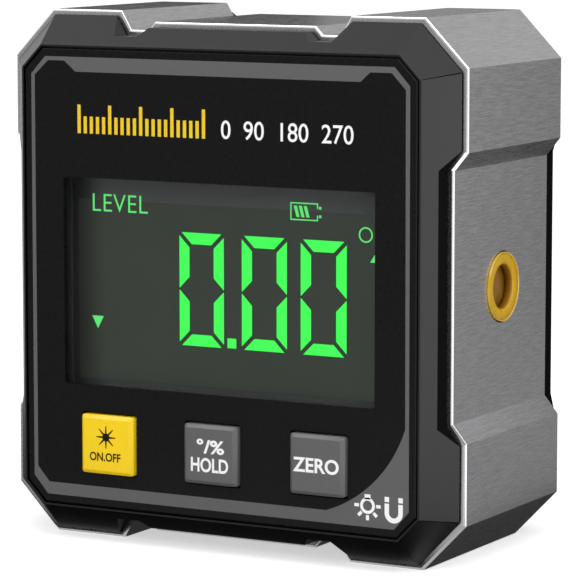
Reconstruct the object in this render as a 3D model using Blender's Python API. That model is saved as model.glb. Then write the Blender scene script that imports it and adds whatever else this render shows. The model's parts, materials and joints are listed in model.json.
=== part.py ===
"""Digital angle gauge: a pocket inclinometer in an extruded aluminium ring.

A black tapered bezel with a printed window panel closes the front, and a matching cover with
a battery door closes the back. Inside are the display, the circuit board, three keys with
their switches, a sideways laser and two AAA cells. X runs to the right, Y from front to back
and Z up. The gauge stands on its bottom pads, with its origin under the middle.
"""
import math

import bmesh
import bpy
from mathutils import Matrix, Vector

MM = 0.001

# Fits
SEAT = 0.3 * MM          # between pieces that rest on each other
SEAM = 0.2 * MM          # open joint lines that show
BEYOND = 1.0 * MM        # how far a cutter passes what it cuts

# Corner radii of small moulded shapes
CORNER_SHARP = 0.3 * MM
CORNER_SOFT = 0.5 * MM
CORNER_ROUND = 0.8 * MM
BROKEN_EDGE = 0.15 * MM

# Aluminium ring
RING_WIDTH = 57.3 * MM
RING_HEIGHT = 60.0 * MM
RING_DEPTH = 24.2 * MM
CORNER_X = 5.15 * MM     # corner chamfer, along the width
CORNER_Z = 5.3 * MM      # corner chamfer, along the height
SIDE_RECESS = 1.65 * MM
SIDE_PAD = 9.0 * MM      # length of a side pad below the corner chamfer
SIDE_STEP_RUN = 2.0 * MM     # height of the slanted step below it
TOP_PAD = 8.95 * MM      # width of a top or bottom pad beside the corner chamfer
PLATEAU_DROP = 1.2 * MM
GROOVE_DEPTH = 2.15 * MM
GROOVE_WALL_RUN = 0.9 * MM   # width of the wall next to the plateau
GROOVE_FLOOR = 2.25 * MM
PAD_WALL_RUN = 1.25 * MM     # width of the wall next to the pad
RING_EDGE = 0.28 * MM
SIDE_WALL = 2.4 * MM     # measured at the recess
TOP_WALL = 2.45 * MM     # measured at the groove floor
BORE_RADIUS = 1.2 * MM

# Magnets in the bottom pads
MAGNET_RADIUS = 3.0 * MM
MAGNET_HEIGHT = 2.0 * MM
MAGNET_INSET = 6.1 * MM  # from the ring's front or back face
MAGNET_SUNK = 0.2 * MM

# Front bezel
BEZEL_PROUD = 4.1 * MM
SHELL_INSET = 0.6 * MM   # from the ring's outline to the shells' outline
SHELL_LIP_X = 0.4 * MM   # how far the slope's foot lies inside the ring's outline
CREST_INSET_X = 3.45 * MM    # from the ring's outline to the crest of the slope
CREST_INSET_Z = 3.7 * MM
CREST_CORNER_X = 2.6 * MM
CREST_CORNER_Z = CREST_CORNER_X * CORNER_Z / CORNER_X    # keeps the corner slope flat
RIM_WIDTH = 0.3 * MM
RIM_EDGE = 0.1 * MM
SHELL_WALL = 1.2 * MM
SKIRT_DEPTH = 3.0 * MM
SKIRT_ROOT = 0.4 * MM    # how far a skirt reaches into the wall that it grows from
POST_ROOT = 0.6 * MM
BAY_ROOT = 0.8 * MM
CREASE_WIDTH = 0.3 * MM

# Printed panel and display
PANEL_THICKNESS = 0.55 * MM
PANEL_EDGE = 0.12 * MM
WINDOW_MARGIN = 5.5 * MM     # from the crest to the window at each side
WINDOW_HEADER = 14.86 * MM   # from the crest down to the window
WINDOW_GAP = 3.22 * MM       # from the keys up to the window
PANE_LAP = 0.5 * MM      # how far the clear pane reaches behind the panel
PANE_THICKNESS = 1.1 * MM    # of the rim behind the panel
PANE_SUNK = 0.05 * MM    # from the panel's face back to the pane's
GASKET_THICKNESS = 0.35 * MM
GASKET_WIDTH = 0.9 * MM
GLASS_LAP_X = 2.1 * MM   # how far the glass reaches past the window
GLASS_LAP_Z = 1.48 * MM
GLASS_THICKNESS = 2.0 * MM
GUIDE_MARGIN_X = 0.8 * MM    # from the glass's edge to the light guide's
GUIDE_MARGIN_Z = 2.1 * MM
GUIDE_THICKNESS = 1.4 * MM
HOLDER_WALL = 0.7 * MM
STRIP_MARGIN = 3.8 * MM  # from the glass's edge to the contact strip's end
STRIP_HEIGHT = 1.2 * MM

# Keys
KEY_WIDTH = 6.78 * MM
KEY_HEIGHT = 6.7 * MM
KEY_POST_GAP = 1.21 * MM     # from an outer key's flange to the screw post, before the shift
KEY_SHIFT = 0.42 * MM    # how far the row of keys sits left of the middle
KEY_RISE = 7.73 * MM     # from the lower crest up to the keys' middle
KEY_PROUD = 0.8 * MM
KEY_EDGE = 0.42 * MM
KEY_FLANGE = 0.6 * MM    # how far the flange reaches past the cap
KEY_FLANGE_THICKNESS = 0.7 * MM
KEY_STEM_RADIUS = 1.6 * MM
KEY_TRAVEL = 0.6 * MM
SWITCH_SIDE = 6.0 * MM
SWITCH_HEIGHT = 1.8 * MM
PLUNGER_RADIUS = 1.7 * MM
PLUNGER_PROUD = 0.8 * MM
SWITCH_FLOOR = 0.2 * MM

# Circuit board
BOARD_MARGIN = 0.3 * MM  # from the bezel's inner walls
BOARD_CORNER = 3.0 * MM
BOARD_FRONT = 3.4 * MM   # behind the ring's front face
BOARD_THICKNESS = 1.2 * MM
CHIP_SIZE = (9.0 * MM, 9.0 * MM, 1.4 * MM)       # width, height, thickness
CHIP_AT = (-9.0 * MM, 9.0 * MM)                  # across and up from the middle
SENSOR_SIZE = (4.0 * MM, 4.0 * MM, 1.0 * MM)
SENSOR_AT = (-9.0 * MM, -2.0 * MM)
CRYSTAL_SIZE = (10.0 * MM, 3.8 * MM, 3.0 * MM)
CRYSTAL_AT = (6.0 * MM, 16.0 * MM)
CRYSTAL_EDGE = 0.8 * MM
BUZZER_AT = (-9.0 * MM, -14.0 * MM)
BUZZER_RADIUS = 4.5 * MM
BUZZER_HEIGHT = 3.6 * MM
BUZZER_HOLE = 0.8 * MM
BUZZER_HOLE_DEPTH = 1.0 * MM

# Screw posts and case screws
POST_INSET = 1.8 * MM    # from the bezel's inner walls to a post's axis
POST_FOOT_RADIUS = 2.7 * MM
POST_RADIUS = 2.1 * MM
REAR_POST_RADIUS = 2.3 * MM
POST_JOINT_SHARE = 0.66  # where front and rear posts meet, as a share of the ring's depth
SCREW_RADIUS = 1.0 * MM
SCREW_BITE = 4.5 * MM    # length of the shank in the front post
SCREW_CLEARANCE = 0.15 * MM
HEAD_RADIUS = 1.9 * MM
HEAD_HEIGHT = 1.3 * MM
HEAD_SINK = 2.0 * MM
DRIVE_RADIUS = 0.85 * MM
DRIVE_DEPTH = 0.7 * MM
DRIVE_SLIMNESS = 0.3     # width of a drive slot over its length
HEAD_SHOULDER = 0.6      # height of the head's upright rim over its whole height
HEAD_TOP = 0.75          # radius of the head's flat top over its whole radius
TIP_TAPER = 0.6          # radius of the shank's end over its whole radius

# Laser and its outlet in the right side
LASER_SHARE = 0.5124     # the laser axis's place as a share of the ring's depth
OUTLET_RADIUS = 3.8 * MM
OUTLET_PROUD = 0.2 * MM
OUTLET_EDGE = 0.18 * MM
OUTLET_BORE = 2.45 * MM
OUTLET_MOUTH = 0.4 * MM      # width of the rounding into the bore
OUTLET_MOUTH_DEPTH = 0.35 * MM
LENS_RADIUS = 2.8 * MM
LENS_THICKNESS = 1.6 * MM
LENS_DOME = 0.35 * MM    # how far the lens's middle stands past its edge
BARREL_RADIUS = 3.0 * MM
BARREL_LENGTH = 12.0 * MM
BARREL_EDGE = 0.3 * MM
BARREL_MOUTH = 1.6 * MM
BARREL_MOUTH_DEPTH = 2.5 * MM
CRADLE_LENGTH = 8.0 * MM
CRADLE_HALF = 4.4 * MM
CRADLE_BACK = 2.0 * MM   # how far the jaws reach past the laser's axis
DRIVER_LENGTH = 6.2 * MM
DRIVER_WIDTH = 5.0 * MM
DRIVER_THICKNESS = 0.8 * MM
LASER_LEAD_REACH = 2.4 * MM  # how far the lead swings past the driver board

# Rear cover and battery bay
COVER_PROUD = 4.6 * MM
BACK_WALL = 1.4 * MM
CELL_GAP = 0.4 * MM
CELL_NUB_RADIUS = 1.9 * MM
CELL_NUB_LENGTH = 0.9 * MM
CELL_EDGE = 0.5 * MM
BAY_FLOOR = 0.8 * MM
BAY_WALL = 1.2 * MM
BAY_END_WALL = 0.7 * MM
BAY_END_STEP = 0.1 * MM  # from the skirt's outside to the bay's outside
BAY_LEDGE = 0.5 * MM     # narrowing of the bay's mouth at each end
LEDGE_THICKNESS = 0.8 * MM
DOOR_THICKNESS = 1.2 * MM
DOOR_LAP_X = 0.8 * MM    # how far the door reaches past the bay's mouth at each end
DOOR_LAP_Z = 0.7 * MM
DOOR_EDGE = 0.25 * MM
GRIP_COUNT = 5
GRIP_LENGTH = 12.0 * MM
GRIP_WIDTH = 0.7 * MM
GRIP_PITCH = 1.3 * MM
GRIP_DEPTH = 0.35 * MM
GRIP_START = 2.2 * MM    # from the door's lower edge to the first groove
NOTCH_RADIUS = 5.0 * MM
NOTCH_DEPTH = 0.7 * MM
CONTACT_THICKNESS = 0.4 * MM
CONTACT_MARGIN = 1.25 * MM   # from a cell's side to its contact plate's edge
TAB_WIDTH = 2.0 * MM
TAB_LENGTH = 0.8 * MM    # how far a tab stands out of the bay's floor
TAB_OFFSET = 2.5 * MM    # from a cell's axis to its tab
SPRING_WIRE = 0.2 * MM   # radius
SPRING_MARGIN = 2.25 * MM    # from a cell's side to the widest turn
SPRING_INNER = 1.2 * MM
SPRING_TURNS = 2.5
SPRING_ROOM = 1.2 * MM   # between a cell's bare end and the contact plate
LEAD_RADIUS = 0.5 * MM
LEAD_BEND = 1.5 * MM
LEAD_INSET = 3.0 * MM    # from the bezel's inner wall to a lead's foot

# Stations along the depth, counted from the ring's front face
FRONT_FACE = -BEZEL_PROUD
POCKET_FLOOR = FRONT_FACE + PANEL_THICKNESS + SEAT
BEZEL_INNER = POCKET_FLOOR + SHELL_WALL
PANE_FRONT = FRONT_FACE + PANEL_THICKNESS + SEAT
GASKET_FRONT = BEZEL_INNER + SEAT
GLASS_FRONT = GASKET_FRONT + GASKET_THICKNESS + SEAT
GUIDE_FRONT = GLASS_FRONT + GLASS_THICKNESS + SEAT
BOARD_BACK = BOARD_FRONT + BOARD_THICKNESS
COMPONENT_FOOT = BOARD_BACK + SEAT
SWITCH_BACK = BOARD_FRONT - SEAT
SWITCH_FRONT = SWITCH_BACK - SWITCH_HEIGHT
PLUNGER_FRONT = SWITCH_FRONT - PLUNGER_PROUD
LASER_FROM_FRONT = RING_DEPTH * LASER_SHARE
POST_JOINT = RING_DEPTH * POST_JOINT_SHARE
BACK_FACE = RING_DEPTH + COVER_PROUD
DOOR_SEAT = BACK_FACE - DOOR_THICKNESS - SEAT
BAY_FLOOR_FRONT = LASER_FROM_FRONT + BARREL_RADIUS + SEAT
BAY_FLOOR_BACK = BAY_FLOOR_FRONT + BAY_FLOOR
CELL_RADIUS = (DOOR_SEAT - BAY_FLOOR_BACK - SEAT) / 2
CELL_AXIS = BAY_FLOOR_BACK + SEAT + CELL_RADIUS

# Half sizes that follow from the ring
HALF_WIDTH = RING_WIDTH / 2
HALF_HEIGHT = RING_HEIGHT / 2
RECESS_X = HALF_WIDTH - SIDE_RECESS
PAD_OUTER = HALF_WIDTH - CORNER_X
PAD_INNER = PAD_OUTER - TOP_PAD
PLATEAU_HALF = PAD_INNER - PAD_WALL_RUN - GROOVE_FLOOR - GROOVE_WALL_RUN
SIDE_PAD_START = HALF_HEIGHT - CORNER_Z - SIDE_PAD
BORE_HALF_X = RECESS_X - SIDE_WALL
BORE_HALF_Z = HALF_HEIGHT - GROOVE_DEPTH - TOP_WALL
SKIRT_HALF_X = BORE_HALF_X - SEAT
SKIRT_HALF_Z = BORE_HALF_Z - SEAT
CAVITY_HALF_X = SKIRT_HALF_X - SHELL_WALL
CAVITY_HALF_Z = SKIRT_HALF_Z - SHELL_WALL
CREST_HALF_X = HALF_WIDTH - CREST_INSET_X
CREST_HALF_Z = HALF_HEIGHT - CREST_INSET_Z
BOARD_HALF_X = CAVITY_HALF_X - BOARD_MARGIN
BOARD_HALF_Z = CAVITY_HALF_Z - BOARD_MARGIN
POST_X = CAVITY_HALF_X - POST_INSET
POST_Z = CAVITY_HALF_Z - POST_INSET

# Window, display and keys
KEY_CENTRE_Z = KEY_RISE - CREST_HALF_Z
KEY_PITCH = POST_X - POST_FOOT_RADIUS - KEY_POST_GAP - KEY_FLANGE - KEY_WIDTH / 2
WINDOW_LOW = KEY_CENTRE_Z + KEY_HEIGHT / 2 + WINDOW_GAP
WINDOW_HIGH = CREST_HALF_Z - WINDOW_HEADER
WINDOW_CENTRE_Z = (WINDOW_HIGH + WINDOW_LOW) / 2
WINDOW_HALF_Z = (WINDOW_HIGH - WINDOW_LOW) / 2
WINDOW_HALF_X = CREST_HALF_X - WINDOW_MARGIN
PANE_HALF_X = WINDOW_HALF_X + PANE_LAP
PANE_HALF_Z = WINDOW_HALF_Z + PANE_LAP
GLASS_HALF_X = WINDOW_HALF_X + GLASS_LAP_X
GLASS_HALF_Z = WINDOW_HALF_Z + GLASS_LAP_Z
GUIDE_HALF_X = GLASS_HALF_X - GUIDE_MARGIN_X
GUIDE_HALF_Z = GLASS_HALF_Z - GUIDE_MARGIN_Z

# Battery bay
CELL_PITCH = 2 * CELL_RADIUS + CELL_GAP
BAY_OUTER_X = SKIRT_HALF_X - BAY_END_STEP
BAY_HALF_X = BAY_OUTER_X - BAY_END_WALL
BAY_HALF_Z = CELL_PITCH / 2 + CELL_RADIUS + SEAT
MOUTH_HALF_X = BAY_HALF_X - BAY_LEDGE
MOUTH_HALF_Z = BAY_HALF_Z - SEAT / 2
DOOR_HALF_X = MOUTH_HALF_X + DOOR_LAP_X
DOOR_HALF_Z = BAY_HALF_Z + DOOR_LAP_Z
PLATE_OUTER_X = BAY_HALF_X - SEAT
PLATE_INNER_X = PLATE_OUTER_X - CONTACT_THICKNESS
CONTACT_HALF = CELL_RADIUS - CONTACT_MARGIN
SPRING_OUTER = CELL_RADIUS - SPRING_MARGIN
TAB_Z = CELL_PITCH / 2 + TAB_OFFSET
KEY_NAMES = ("power", "hold", "zero")
ROUND = 32               # sides of a small round piece
FINE_ROUND = 24          # sides of a very small one
LEAD_STEPS = 4           # steps between two bends of a lead
COIL_STEPS = 12          # steps in a turn of a spring
SMOOTH_ANGLE = math.radians(35)

TOTAL_DEPTH = KEY_PROUD + BEZEL_PROUD + RING_DEPTH + COVER_PROUD
RING_FRONT_Y = KEY_PROUD + BEZEL_PROUD - TOTAL_DEPTH / 2


def start_scene():
    """Empties the scene and returns the empty that every piece hangs on."""
    for old in list(bpy.data.objects):
        bpy.data.objects.remove(old, do_unlink=True)
    middle = bpy.data.objects.new("ring_front_middle", None)
    middle.location = (0, RING_FRONT_Y, HALF_HEIGHT)
    bpy.context.scene.collection.objects.link(middle)
    return middle


MIDDLE = start_scene()


def linear(channel):
    """Turns one sRGB channel, 0 to 1, into linear light."""
    return channel / 12.92 if channel <= 0.04045 else ((channel + 0.055) / 1.055) ** 2.4


def finish(name, colour, roughness, metallic=0.0, alpha=1.0):
    """A Principled material from an sRGB hex colour."""
    made = bpy.data.materials.new(name)
    made.use_nodes = True
    shader = made.node_tree.nodes["Principled BSDF"]
    channels = [linear(int(colour[i:i + 2], 16) / 255) for i in (0, 2, 4)]
    shader.inputs["Base Color"].default_value = (*channels, 1)
    shader.inputs["Roughness"].default_value = roughness
    shader.inputs["Metallic"].default_value = metallic
    shader.inputs["Alpha"].default_value = alpha
    return made


def place(name, mesh_builder, look=None, location=(0, 0, 0)):
    """Turns a bmesh into a named object on the middle empty."""
    bmesh.ops.recalc_face_normals(mesh_builder, faces=mesh_builder.faces)
    mesh = bpy.data.meshes.new(name)
    mesh_builder.to_mesh(mesh)
    mesh_builder.free()
    piece = bpy.data.objects.new(name, mesh)
    piece.parent = MIDDLE
    piece.location = location
    bpy.context.scene.collection.objects.link(piece)
    if look:
        mesh.materials.append(look)
    return piece


def smooth(piece):
    """Shades a round piece smooth and keeps its real edges sharp."""
    piece.data.shade_smooth()
    piece.data.set_sharp_from_angle(angle=SMOOTH_ANGLE)
    return piece


def as_tool(piece):
    """Marks a piece as a cutter or filler that is no part of the gauge."""
    piece.hide_render = True
    piece.display_type = "WIRE"
    return piece


def shape_with(piece, tool, operation):
    """Adds one exact Boolean to a piece."""
    step = piece.modifiers.new(tool.name, "BOOLEAN")
    step.operation = operation
    step.solver = "EXACT"
    step.object = as_tool(tool)
    return piece


def cut(piece, *tools):
    for tool in tools:
        shape_with(piece, tool, "DIFFERENCE")
    return piece


def join(piece, *tools):
    for tool in tools:
        shape_with(piece, tool, "UNION")
    return piece


def four_fold(quarter):
    """Mirrors the top right quarter of an outline into a closed clockwise outline."""
    back = quarter[::-1]
    return (quarter + [(x, -z) for x, z in back]
            + [(-x, -z) for x, z in quarter] + [(-x, z) for x, z in back])


def chamfered_box(half_x, half_z, corner_x, corner_z):
    """Outline of a rectangle with cut corners."""
    return four_fold([(half_x - corner_x, half_z), (half_x, half_z - corner_z)])


def round_box(half_x, half_z, radius, steps=4):
    """Outline of a rectangle with round corners."""
    quarter = []
    for i in range(steps + 1):
        angle = math.pi / 2 * (1 - i / steps)
        quarter.append((half_x - radius + radius * math.cos(angle),
                        half_z - radius + radius * math.sin(angle)))
    return four_fold(quarter)


def inset(outline, distance):
    """Moves every edge of a clockwise outline inward and joins them again at mitres."""
    count = len(outline)
    moved = []
    for i in range(count):
        before = Vector(outline[i - 1])
        corner = Vector(outline[i])
        after = Vector(outline[(i + 1) % count])
        first = (corner - before).normalized()
        second = (after - corner).normalized()
        normal_1 = Vector((first.y, -first.x))
        normal_2 = Vector((second.y, -second.x))
        mitre = (normal_1 + normal_2).normalized()
        moved.append(tuple(corner + mitre * distance / mitre.dot(normal_1)))
    return moved


def loft(name, stations, look=None, centre=(0, 0), location=(0, 0, 0)):
    """Extrudes an outline along Y through a list of (outline, y) stations."""
    builder = bmesh.new()
    outline, y = stations[0]
    face = builder.faces.new([builder.verts.new((x + centre[0], y, z + centre[1])) for x, z in outline])
    for number, (outline, y) in enumerate(stations[1:]):
        grown = bmesh.ops.extrude_face_region(builder, geom=[face])
        if number:
            bmesh.ops.delete(builder, geom=[face], context="FACES_ONLY")
        face = [item for item in grown["geom"] if isinstance(item, bmesh.types.BMFace)][0]
        for vertex, (x, z) in zip(face.verts, outline):
            vertex.co = (x + centre[0], y, z + centre[1])
    return place(name, builder, look, location)


def plate(name, outline, front, back, look=None, centre=(0, 0)):
    """A flat plate between two depths."""
    return loft(name, [(outline, front), (outline, back)], look, centre)


def block(name, low, high, look=None, bevel=0.0):
    """A box between two corners, with its edges broken if asked."""
    low, high = Vector(low), Vector(high)
    builder = bmesh.new()
    size = Matrix.Diagonal((*(high - low), 1))
    bmesh.ops.create_cube(builder, size=1, matrix=Matrix.Translation((low + high) / 2) @ size)
    if bevel:
        bmesh.ops.bevel(builder, geom=list(builder.edges), offset=bevel, segments=1, affect="EDGES")
    return place(name, builder, look)


def turned(name, profile, axis, centre, look=None, closed=False, sides=ROUND, location=(0, 0, 0)):
    """Spins a profile of (radius, along) points about an axis along X, Y or Z through a centre."""
    along = Vector({"X": (1, 0, 0), "Y": (0, 1, 0), "Z": (0, 0, 1)}[axis])
    across = Vector((0, 0, 1)) if axis != "Z" else Vector((1, 0, 0))
    builder = bmesh.new()
    points = [builder.verts.new(Vector(centre) + across * r + along * a) for r, a in profile]
    pairs = list(zip(points, points[1:]))
    if closed:
        pairs.append((points[-1], points[0]))
    edges = [builder.edges.new(pair) for pair in pairs]
    bmesh.ops.spin(builder, geom=points + edges, cent=centre, axis=along, angle=2 * math.pi,
                   steps=sides, use_merge=True)
    bmesh.ops.remove_doubles(builder, verts=builder.verts, dist=0.0005 * MM)
    return smooth(place(name, builder, look, location))


def rod(name, axis, centre, radius, start, end, look=None, sides=ROUND, edge=0.0, location=(0, 0, 0)):
    """A round bar with flat ends."""
    profile = [(0, start), (radius - edge, start), (radius, start + edge),
               (radius, end - edge), (radius - edge, end), (0, end)]
    if not edge:
        profile = [(0, start), (radius, start), (radius, end), (0, end)]
    return turned(name, profile, axis, centre, look, sides=sides, location=location)


def tube(name, points, radius, look, resolution):
    """A round bar bent along a line of points."""
    curve = bpy.data.curves.new(name, "CURVE")
    curve.dimensions = "3D"
    curve.bevel_depth = radius
    curve.bevel_resolution = resolution
    curve.use_fill_caps = True
    line = curve.splines.new("POLY")
    line.points.add(len(points) - 1)
    for knot, point in zip(line.points, points):
        knot.co = (*point, 1)
    curve.materials.append(look)
    piece = bpy.data.objects.new(name, curve)
    piece.parent = MIDDLE
    bpy.context.scene.collection.objects.link(piece)


def lead(name, points, look):
    """An insulated lead along a smooth line through a few points."""
    last = len(points) - 1
    samples = []
    for i in range(last):
        p0, p1, p2, p3 = (Vector(points[max(0, min(last, i + k))]) for k in (-1, 0, 1, 2))
        for k in range(LEAD_STEPS):
            t = k / LEAD_STEPS
            samples.append(0.5 * (2 * p1 + (p2 - p0) * t + (2 * p0 - 5 * p1 + 4 * p2 - p3) * t ** 2
                                  + (3 * p1 - p0 - 3 * p2 + p3) * t ** 3))
    tube(name, samples + [points[last]], LEAD_RADIUS, look, 2)


# Finishes
ALUMINIUM = finish("brushed_aluminium", "8A8A8A", 0.35, 1.0)
BLACK_ABS = finish("black_moulded_abs", "262626", 0.45)
PRINTED_PANEL = finish("printed_acrylic_panel", "1B1B1B", 0.25)
CLEAR_ACRYLIC = finish("clear_acrylic", "3A3D3A", 0.08, alpha=0.4)
BLACK_FOAM = finish("black_foam", "141414", 0.9)
DISPLAY_GLASS = finish("display_glass", "3C403A", 0.15)
MILKY_ACRYLIC = finish("milky_acrylic", "D8DCD2", 0.4)
WHITE_ABS = finish("white_moulded_abs", "D5D5D0", 0.5)
SILICONE = finish("grey_silicone", "6A6A70", 0.7)
BOARD_GREEN = finish("solder_mask", "14532D", 0.4)
CHIP_BLACK = finish("epoxy_chip", "181818", 0.5)
NICKEL = finish("nickel_plate", "B8B8B0", 0.25, 1.0)
KEY_YELLOW = finish("yellow_key_abs", "F7CF20", 0.35)
KEY_GREY = finish("grey_key_abs", "5C5C5C", 0.4)
PLUNGER_BLACK = finish("black_nylon", "101010", 0.5)
OUTLET_YELLOW = finish("yellow_outlet_abs", "D9A414", 0.35)
BRASS = finish("brass_barrel", "B08D3C", 0.3, 1.0)
AMBER_LENS = finish("amber_lens", "8A5A18", 0.1, alpha=0.6)
CELL_JACKET = finish("cell_jacket", "3B4A5A", 0.35, 0.4)
RED_LEAD = finish("red_lead_pvc", "B01818", 0.5)
BLACK_LEAD = finish("black_lead_pvc", "121212", 0.5)
SCREW_STEEL = finish("blackened_steel", "2B2B2B", 0.4, 1.0)


# Outlines that several pieces share
def ring_outline():
    """The extrusion's outer profile: pads, grooves and plateaus above and below, recessed sides."""
    top = HALF_HEIGHT
    floor_start = PLATEAU_HALF + GROOVE_WALL_RUN
    floor_end = floor_start + GROOVE_FLOOR
    return four_fold([
        (PLATEAU_HALF, top - PLATEAU_DROP),
        (floor_start, top - GROOVE_DEPTH),
        (floor_end, top - GROOVE_DEPTH),
        (PAD_INNER, top),
        (PAD_OUTER, top),
        (HALF_WIDTH, top - CORNER_Z),
        (HALF_WIDTH, SIDE_PAD_START),
        (RECESS_X, SIDE_PAD_START - SIDE_STEP_RUN),
    ])


RING = ring_outline()
CREST = chamfered_box(CREST_HALF_X, CREST_HALF_Z, CREST_CORNER_X, CREST_CORNER_Z)
SLOPE_FOOT = chamfered_box(HALF_WIDTH - SHELL_LIP_X, HALF_HEIGHT - SHELL_LIP_X, CORNER_X, CORNER_Z)
SKIRT = round_box(SKIRT_HALF_X, SKIRT_HALF_Z, BORE_RADIUS)
CAVITY = round_box(CAVITY_HALF_X, CAVITY_HALF_Z, BORE_RADIUS)
POSTS = [(sx * POST_X, sz * POST_Z) for sx in (-1, 1) for sz in (-1, 1)]
KEY_CENTRES = [(i * KEY_PITCH - KEY_SHIFT, KEY_CENTRE_Z) for i in (-1, 0, 1)]


def tapered_shell(name, foot, crest):
    """A shell's outer form: slopes from the ring up to a flat crest, trimmed by the ring's profile."""
    away = 1 if crest > foot else -1
    rise = abs(crest - foot) - RIM_EDGE
    stretch = BEYOND / rise
    wider = [(fx + (fx - cx) * stretch, fz + (fz - cz) * stretch)
             for (fx, fz), (cx, cz) in zip(SLOPE_FOOT, CREST)]
    body = loft(name, [(wider, foot - away * BEYOND), (CREST, crest - away * RIM_EDGE),
                       (inset(CREST, RIM_EDGE), crest)], BLACK_ABS)
    seam = foot + away * SEAM
    trim = plate(name + "_trim", inset(RING, SHELL_INSET), seam, crest + away * BEYOND)
    shape_with(body, trim, "INTERSECT")
    return body


def ring_frame():
    """The aluminium ring with its bore, the laser outlet's hole and four magnet pockets."""
    edge = inset(RING, RING_EDGE)
    ring = loft("side_frame", [(edge, 0), (RING, RING_EDGE), (RING, RING_DEPTH - RING_EDGE),
                               (edge, RING_DEPTH)], ALUMINIUM)
    cut(ring, plate("ring_bore", round_box(BORE_HALF_X, BORE_HALF_Z, BORE_RADIUS),
                    -BEYOND, RING_DEPTH + BEYOND))
    cut(ring, rod("outlet_hole", "X", (0, LASER_FROM_FRONT, 0), OUTLET_RADIUS + SEAM,
                  BORE_HALF_X - BEYOND, HALF_WIDTH + BEYOND, sides=3 * ROUND // 2))
    for i, (x, y) in enumerate(magnet_places()):
        top = MAGNET_SUNK + MAGNET_HEIGHT + SEAT - HALF_HEIGHT
        cut(ring, rod(f"magnet_pocket_{i + 1}", "Z", (x, y, 0), MAGNET_RADIUS + SEAM,
                      -HALF_HEIGHT - BEYOND, top))
    return ring


def magnet_places():
    pad_middle = (PAD_INNER + PAD_OUTER) / 2
    return [(sx * pad_middle, y) for sx in (-1, 1) for y in (MAGNET_INSET, RING_DEPTH - MAGNET_INSET)]


def magnets():
    for i, (x, y) in enumerate(magnet_places()):
        low = MAGNET_SUNK - HALF_HEIGHT
        rod(f"base_magnet_{i + 1}", "Z", (x, y, 0), MAGNET_RADIUS, low, low + MAGNET_HEIGHT, NICKEL,
            edge=BROKEN_EDGE)


def window_outline(grow):
    return round_box(WINDOW_HALF_X + grow, WINDOW_HALF_Z + grow, CORNER_SHARP + grow, 2)


def key_hole(name, front, back, centre):
    return plate(name, round_box(KEY_WIDTH / 2 + SEAM, KEY_HEIGHT / 2 + SEAM, CORNER_SHARP, 2),
                 front, back, centre=centre)


def front_bezel():
    """The black front shell: crest rim, panel pocket, window, key holes, skirt and screw posts."""
    bezel = tapered_shell("front_bezel", 0, FRONT_FACE)
    join(bezel, plate("bezel_skirt", SKIRT, BEZEL_INNER - SKIRT_ROOT, SKIRT_DEPTH))
    cut(bezel, plate("bezel_cavity", CAVITY, BEZEL_INNER, SKIRT_DEPTH + BEYOND))
    for i, (x, z) in enumerate(POSTS):
        join(bezel, turned(f"front_post_{i + 1}", [
            (0, BEZEL_INNER - POST_ROOT), (POST_FOOT_RADIUS, BEZEL_INNER - POST_ROOT),
            (POST_FOOT_RADIUS, BOARD_FRONT - SEAT), (POST_RADIUS, BOARD_FRONT - SEAT),
            (POST_RADIUS, POST_JOINT), (0, POST_JOINT)], "Y", (x, 0, z), sides=FINE_ROUND))
        cut(bezel, rod(f"front_pilot_{i + 1}", "Y", (x, 0, z), SCREW_RADIUS + SCREW_CLEARANCE,
                       POST_JOINT - SCREW_BITE - SEAT, POST_JOINT + BEYOND, sides=ROUND // 2))
    cut(bezel, plate("panel_pocket", inset(CREST, RIM_WIDTH), FRONT_FACE - BEYOND, POCKET_FLOOR))
    cut(bezel, plate("pane_opening", window_outline(PANE_LAP + SEAT), POCKET_FLOOR - BEYOND,
                     BEZEL_INNER + BEYOND, centre=(0, WINDOW_CENTRE_Z)))
    for label, centre in zip(KEY_NAMES, KEY_CENTRES):
        cut(bezel, key_hole(f"bezel_hole_{label}", POCKET_FLOOR - BEYOND, BEZEL_INNER + BEYOND, centre))
    creases(bezel)
    return bezel


def creases(bezel):
    """Fine V grooves across the side slopes where they meet the corner slopes."""
    foot_z = HALF_HEIGHT - SHELL_LIP_X - CORNER_Z
    crest_z = CREST_HALF_Z - CREST_CORNER_Z
    foot_x = HALF_WIDTH - SHELL_LIP_X
    for i, (side, level) in enumerate([(sx, sz) for sx in (-1, 1) for sz in (-1, 1)]):
        foot = Vector((side * foot_x, 0, level * foot_z))
        crest = Vector((side * CREST_HALF_X, FRONT_FACE, level * crest_z))
        run = (crest - foot).normalized()
        out = Vector((side * BEZEL_PROUD, -(foot_x - CREST_HALF_X), 0)).normalized()
        cross = run.cross(out).normalized()
        builder = bmesh.new()
        reach = (crest - foot).length
        corners = [(out + cross) * CREASE_WIDTH / 2, (out - cross) * CREASE_WIDTH / 2,
                   -out * CREASE_WIDTH / 2]
        start = foot - run * BEYOND
        face = builder.faces.new([builder.verts.new(start + c) for c in corners])
        grown = bmesh.ops.extrude_face_region(builder, geom=[face])
        moved = [item for item in grown["geom"] if isinstance(item, bmesh.types.BMVert)]
        bmesh.ops.translate(builder, verts=moved, vec=run * (reach + BEYOND * 0.9))
        cut(bezel, place(f"crease_{i + 1}", builder))


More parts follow.
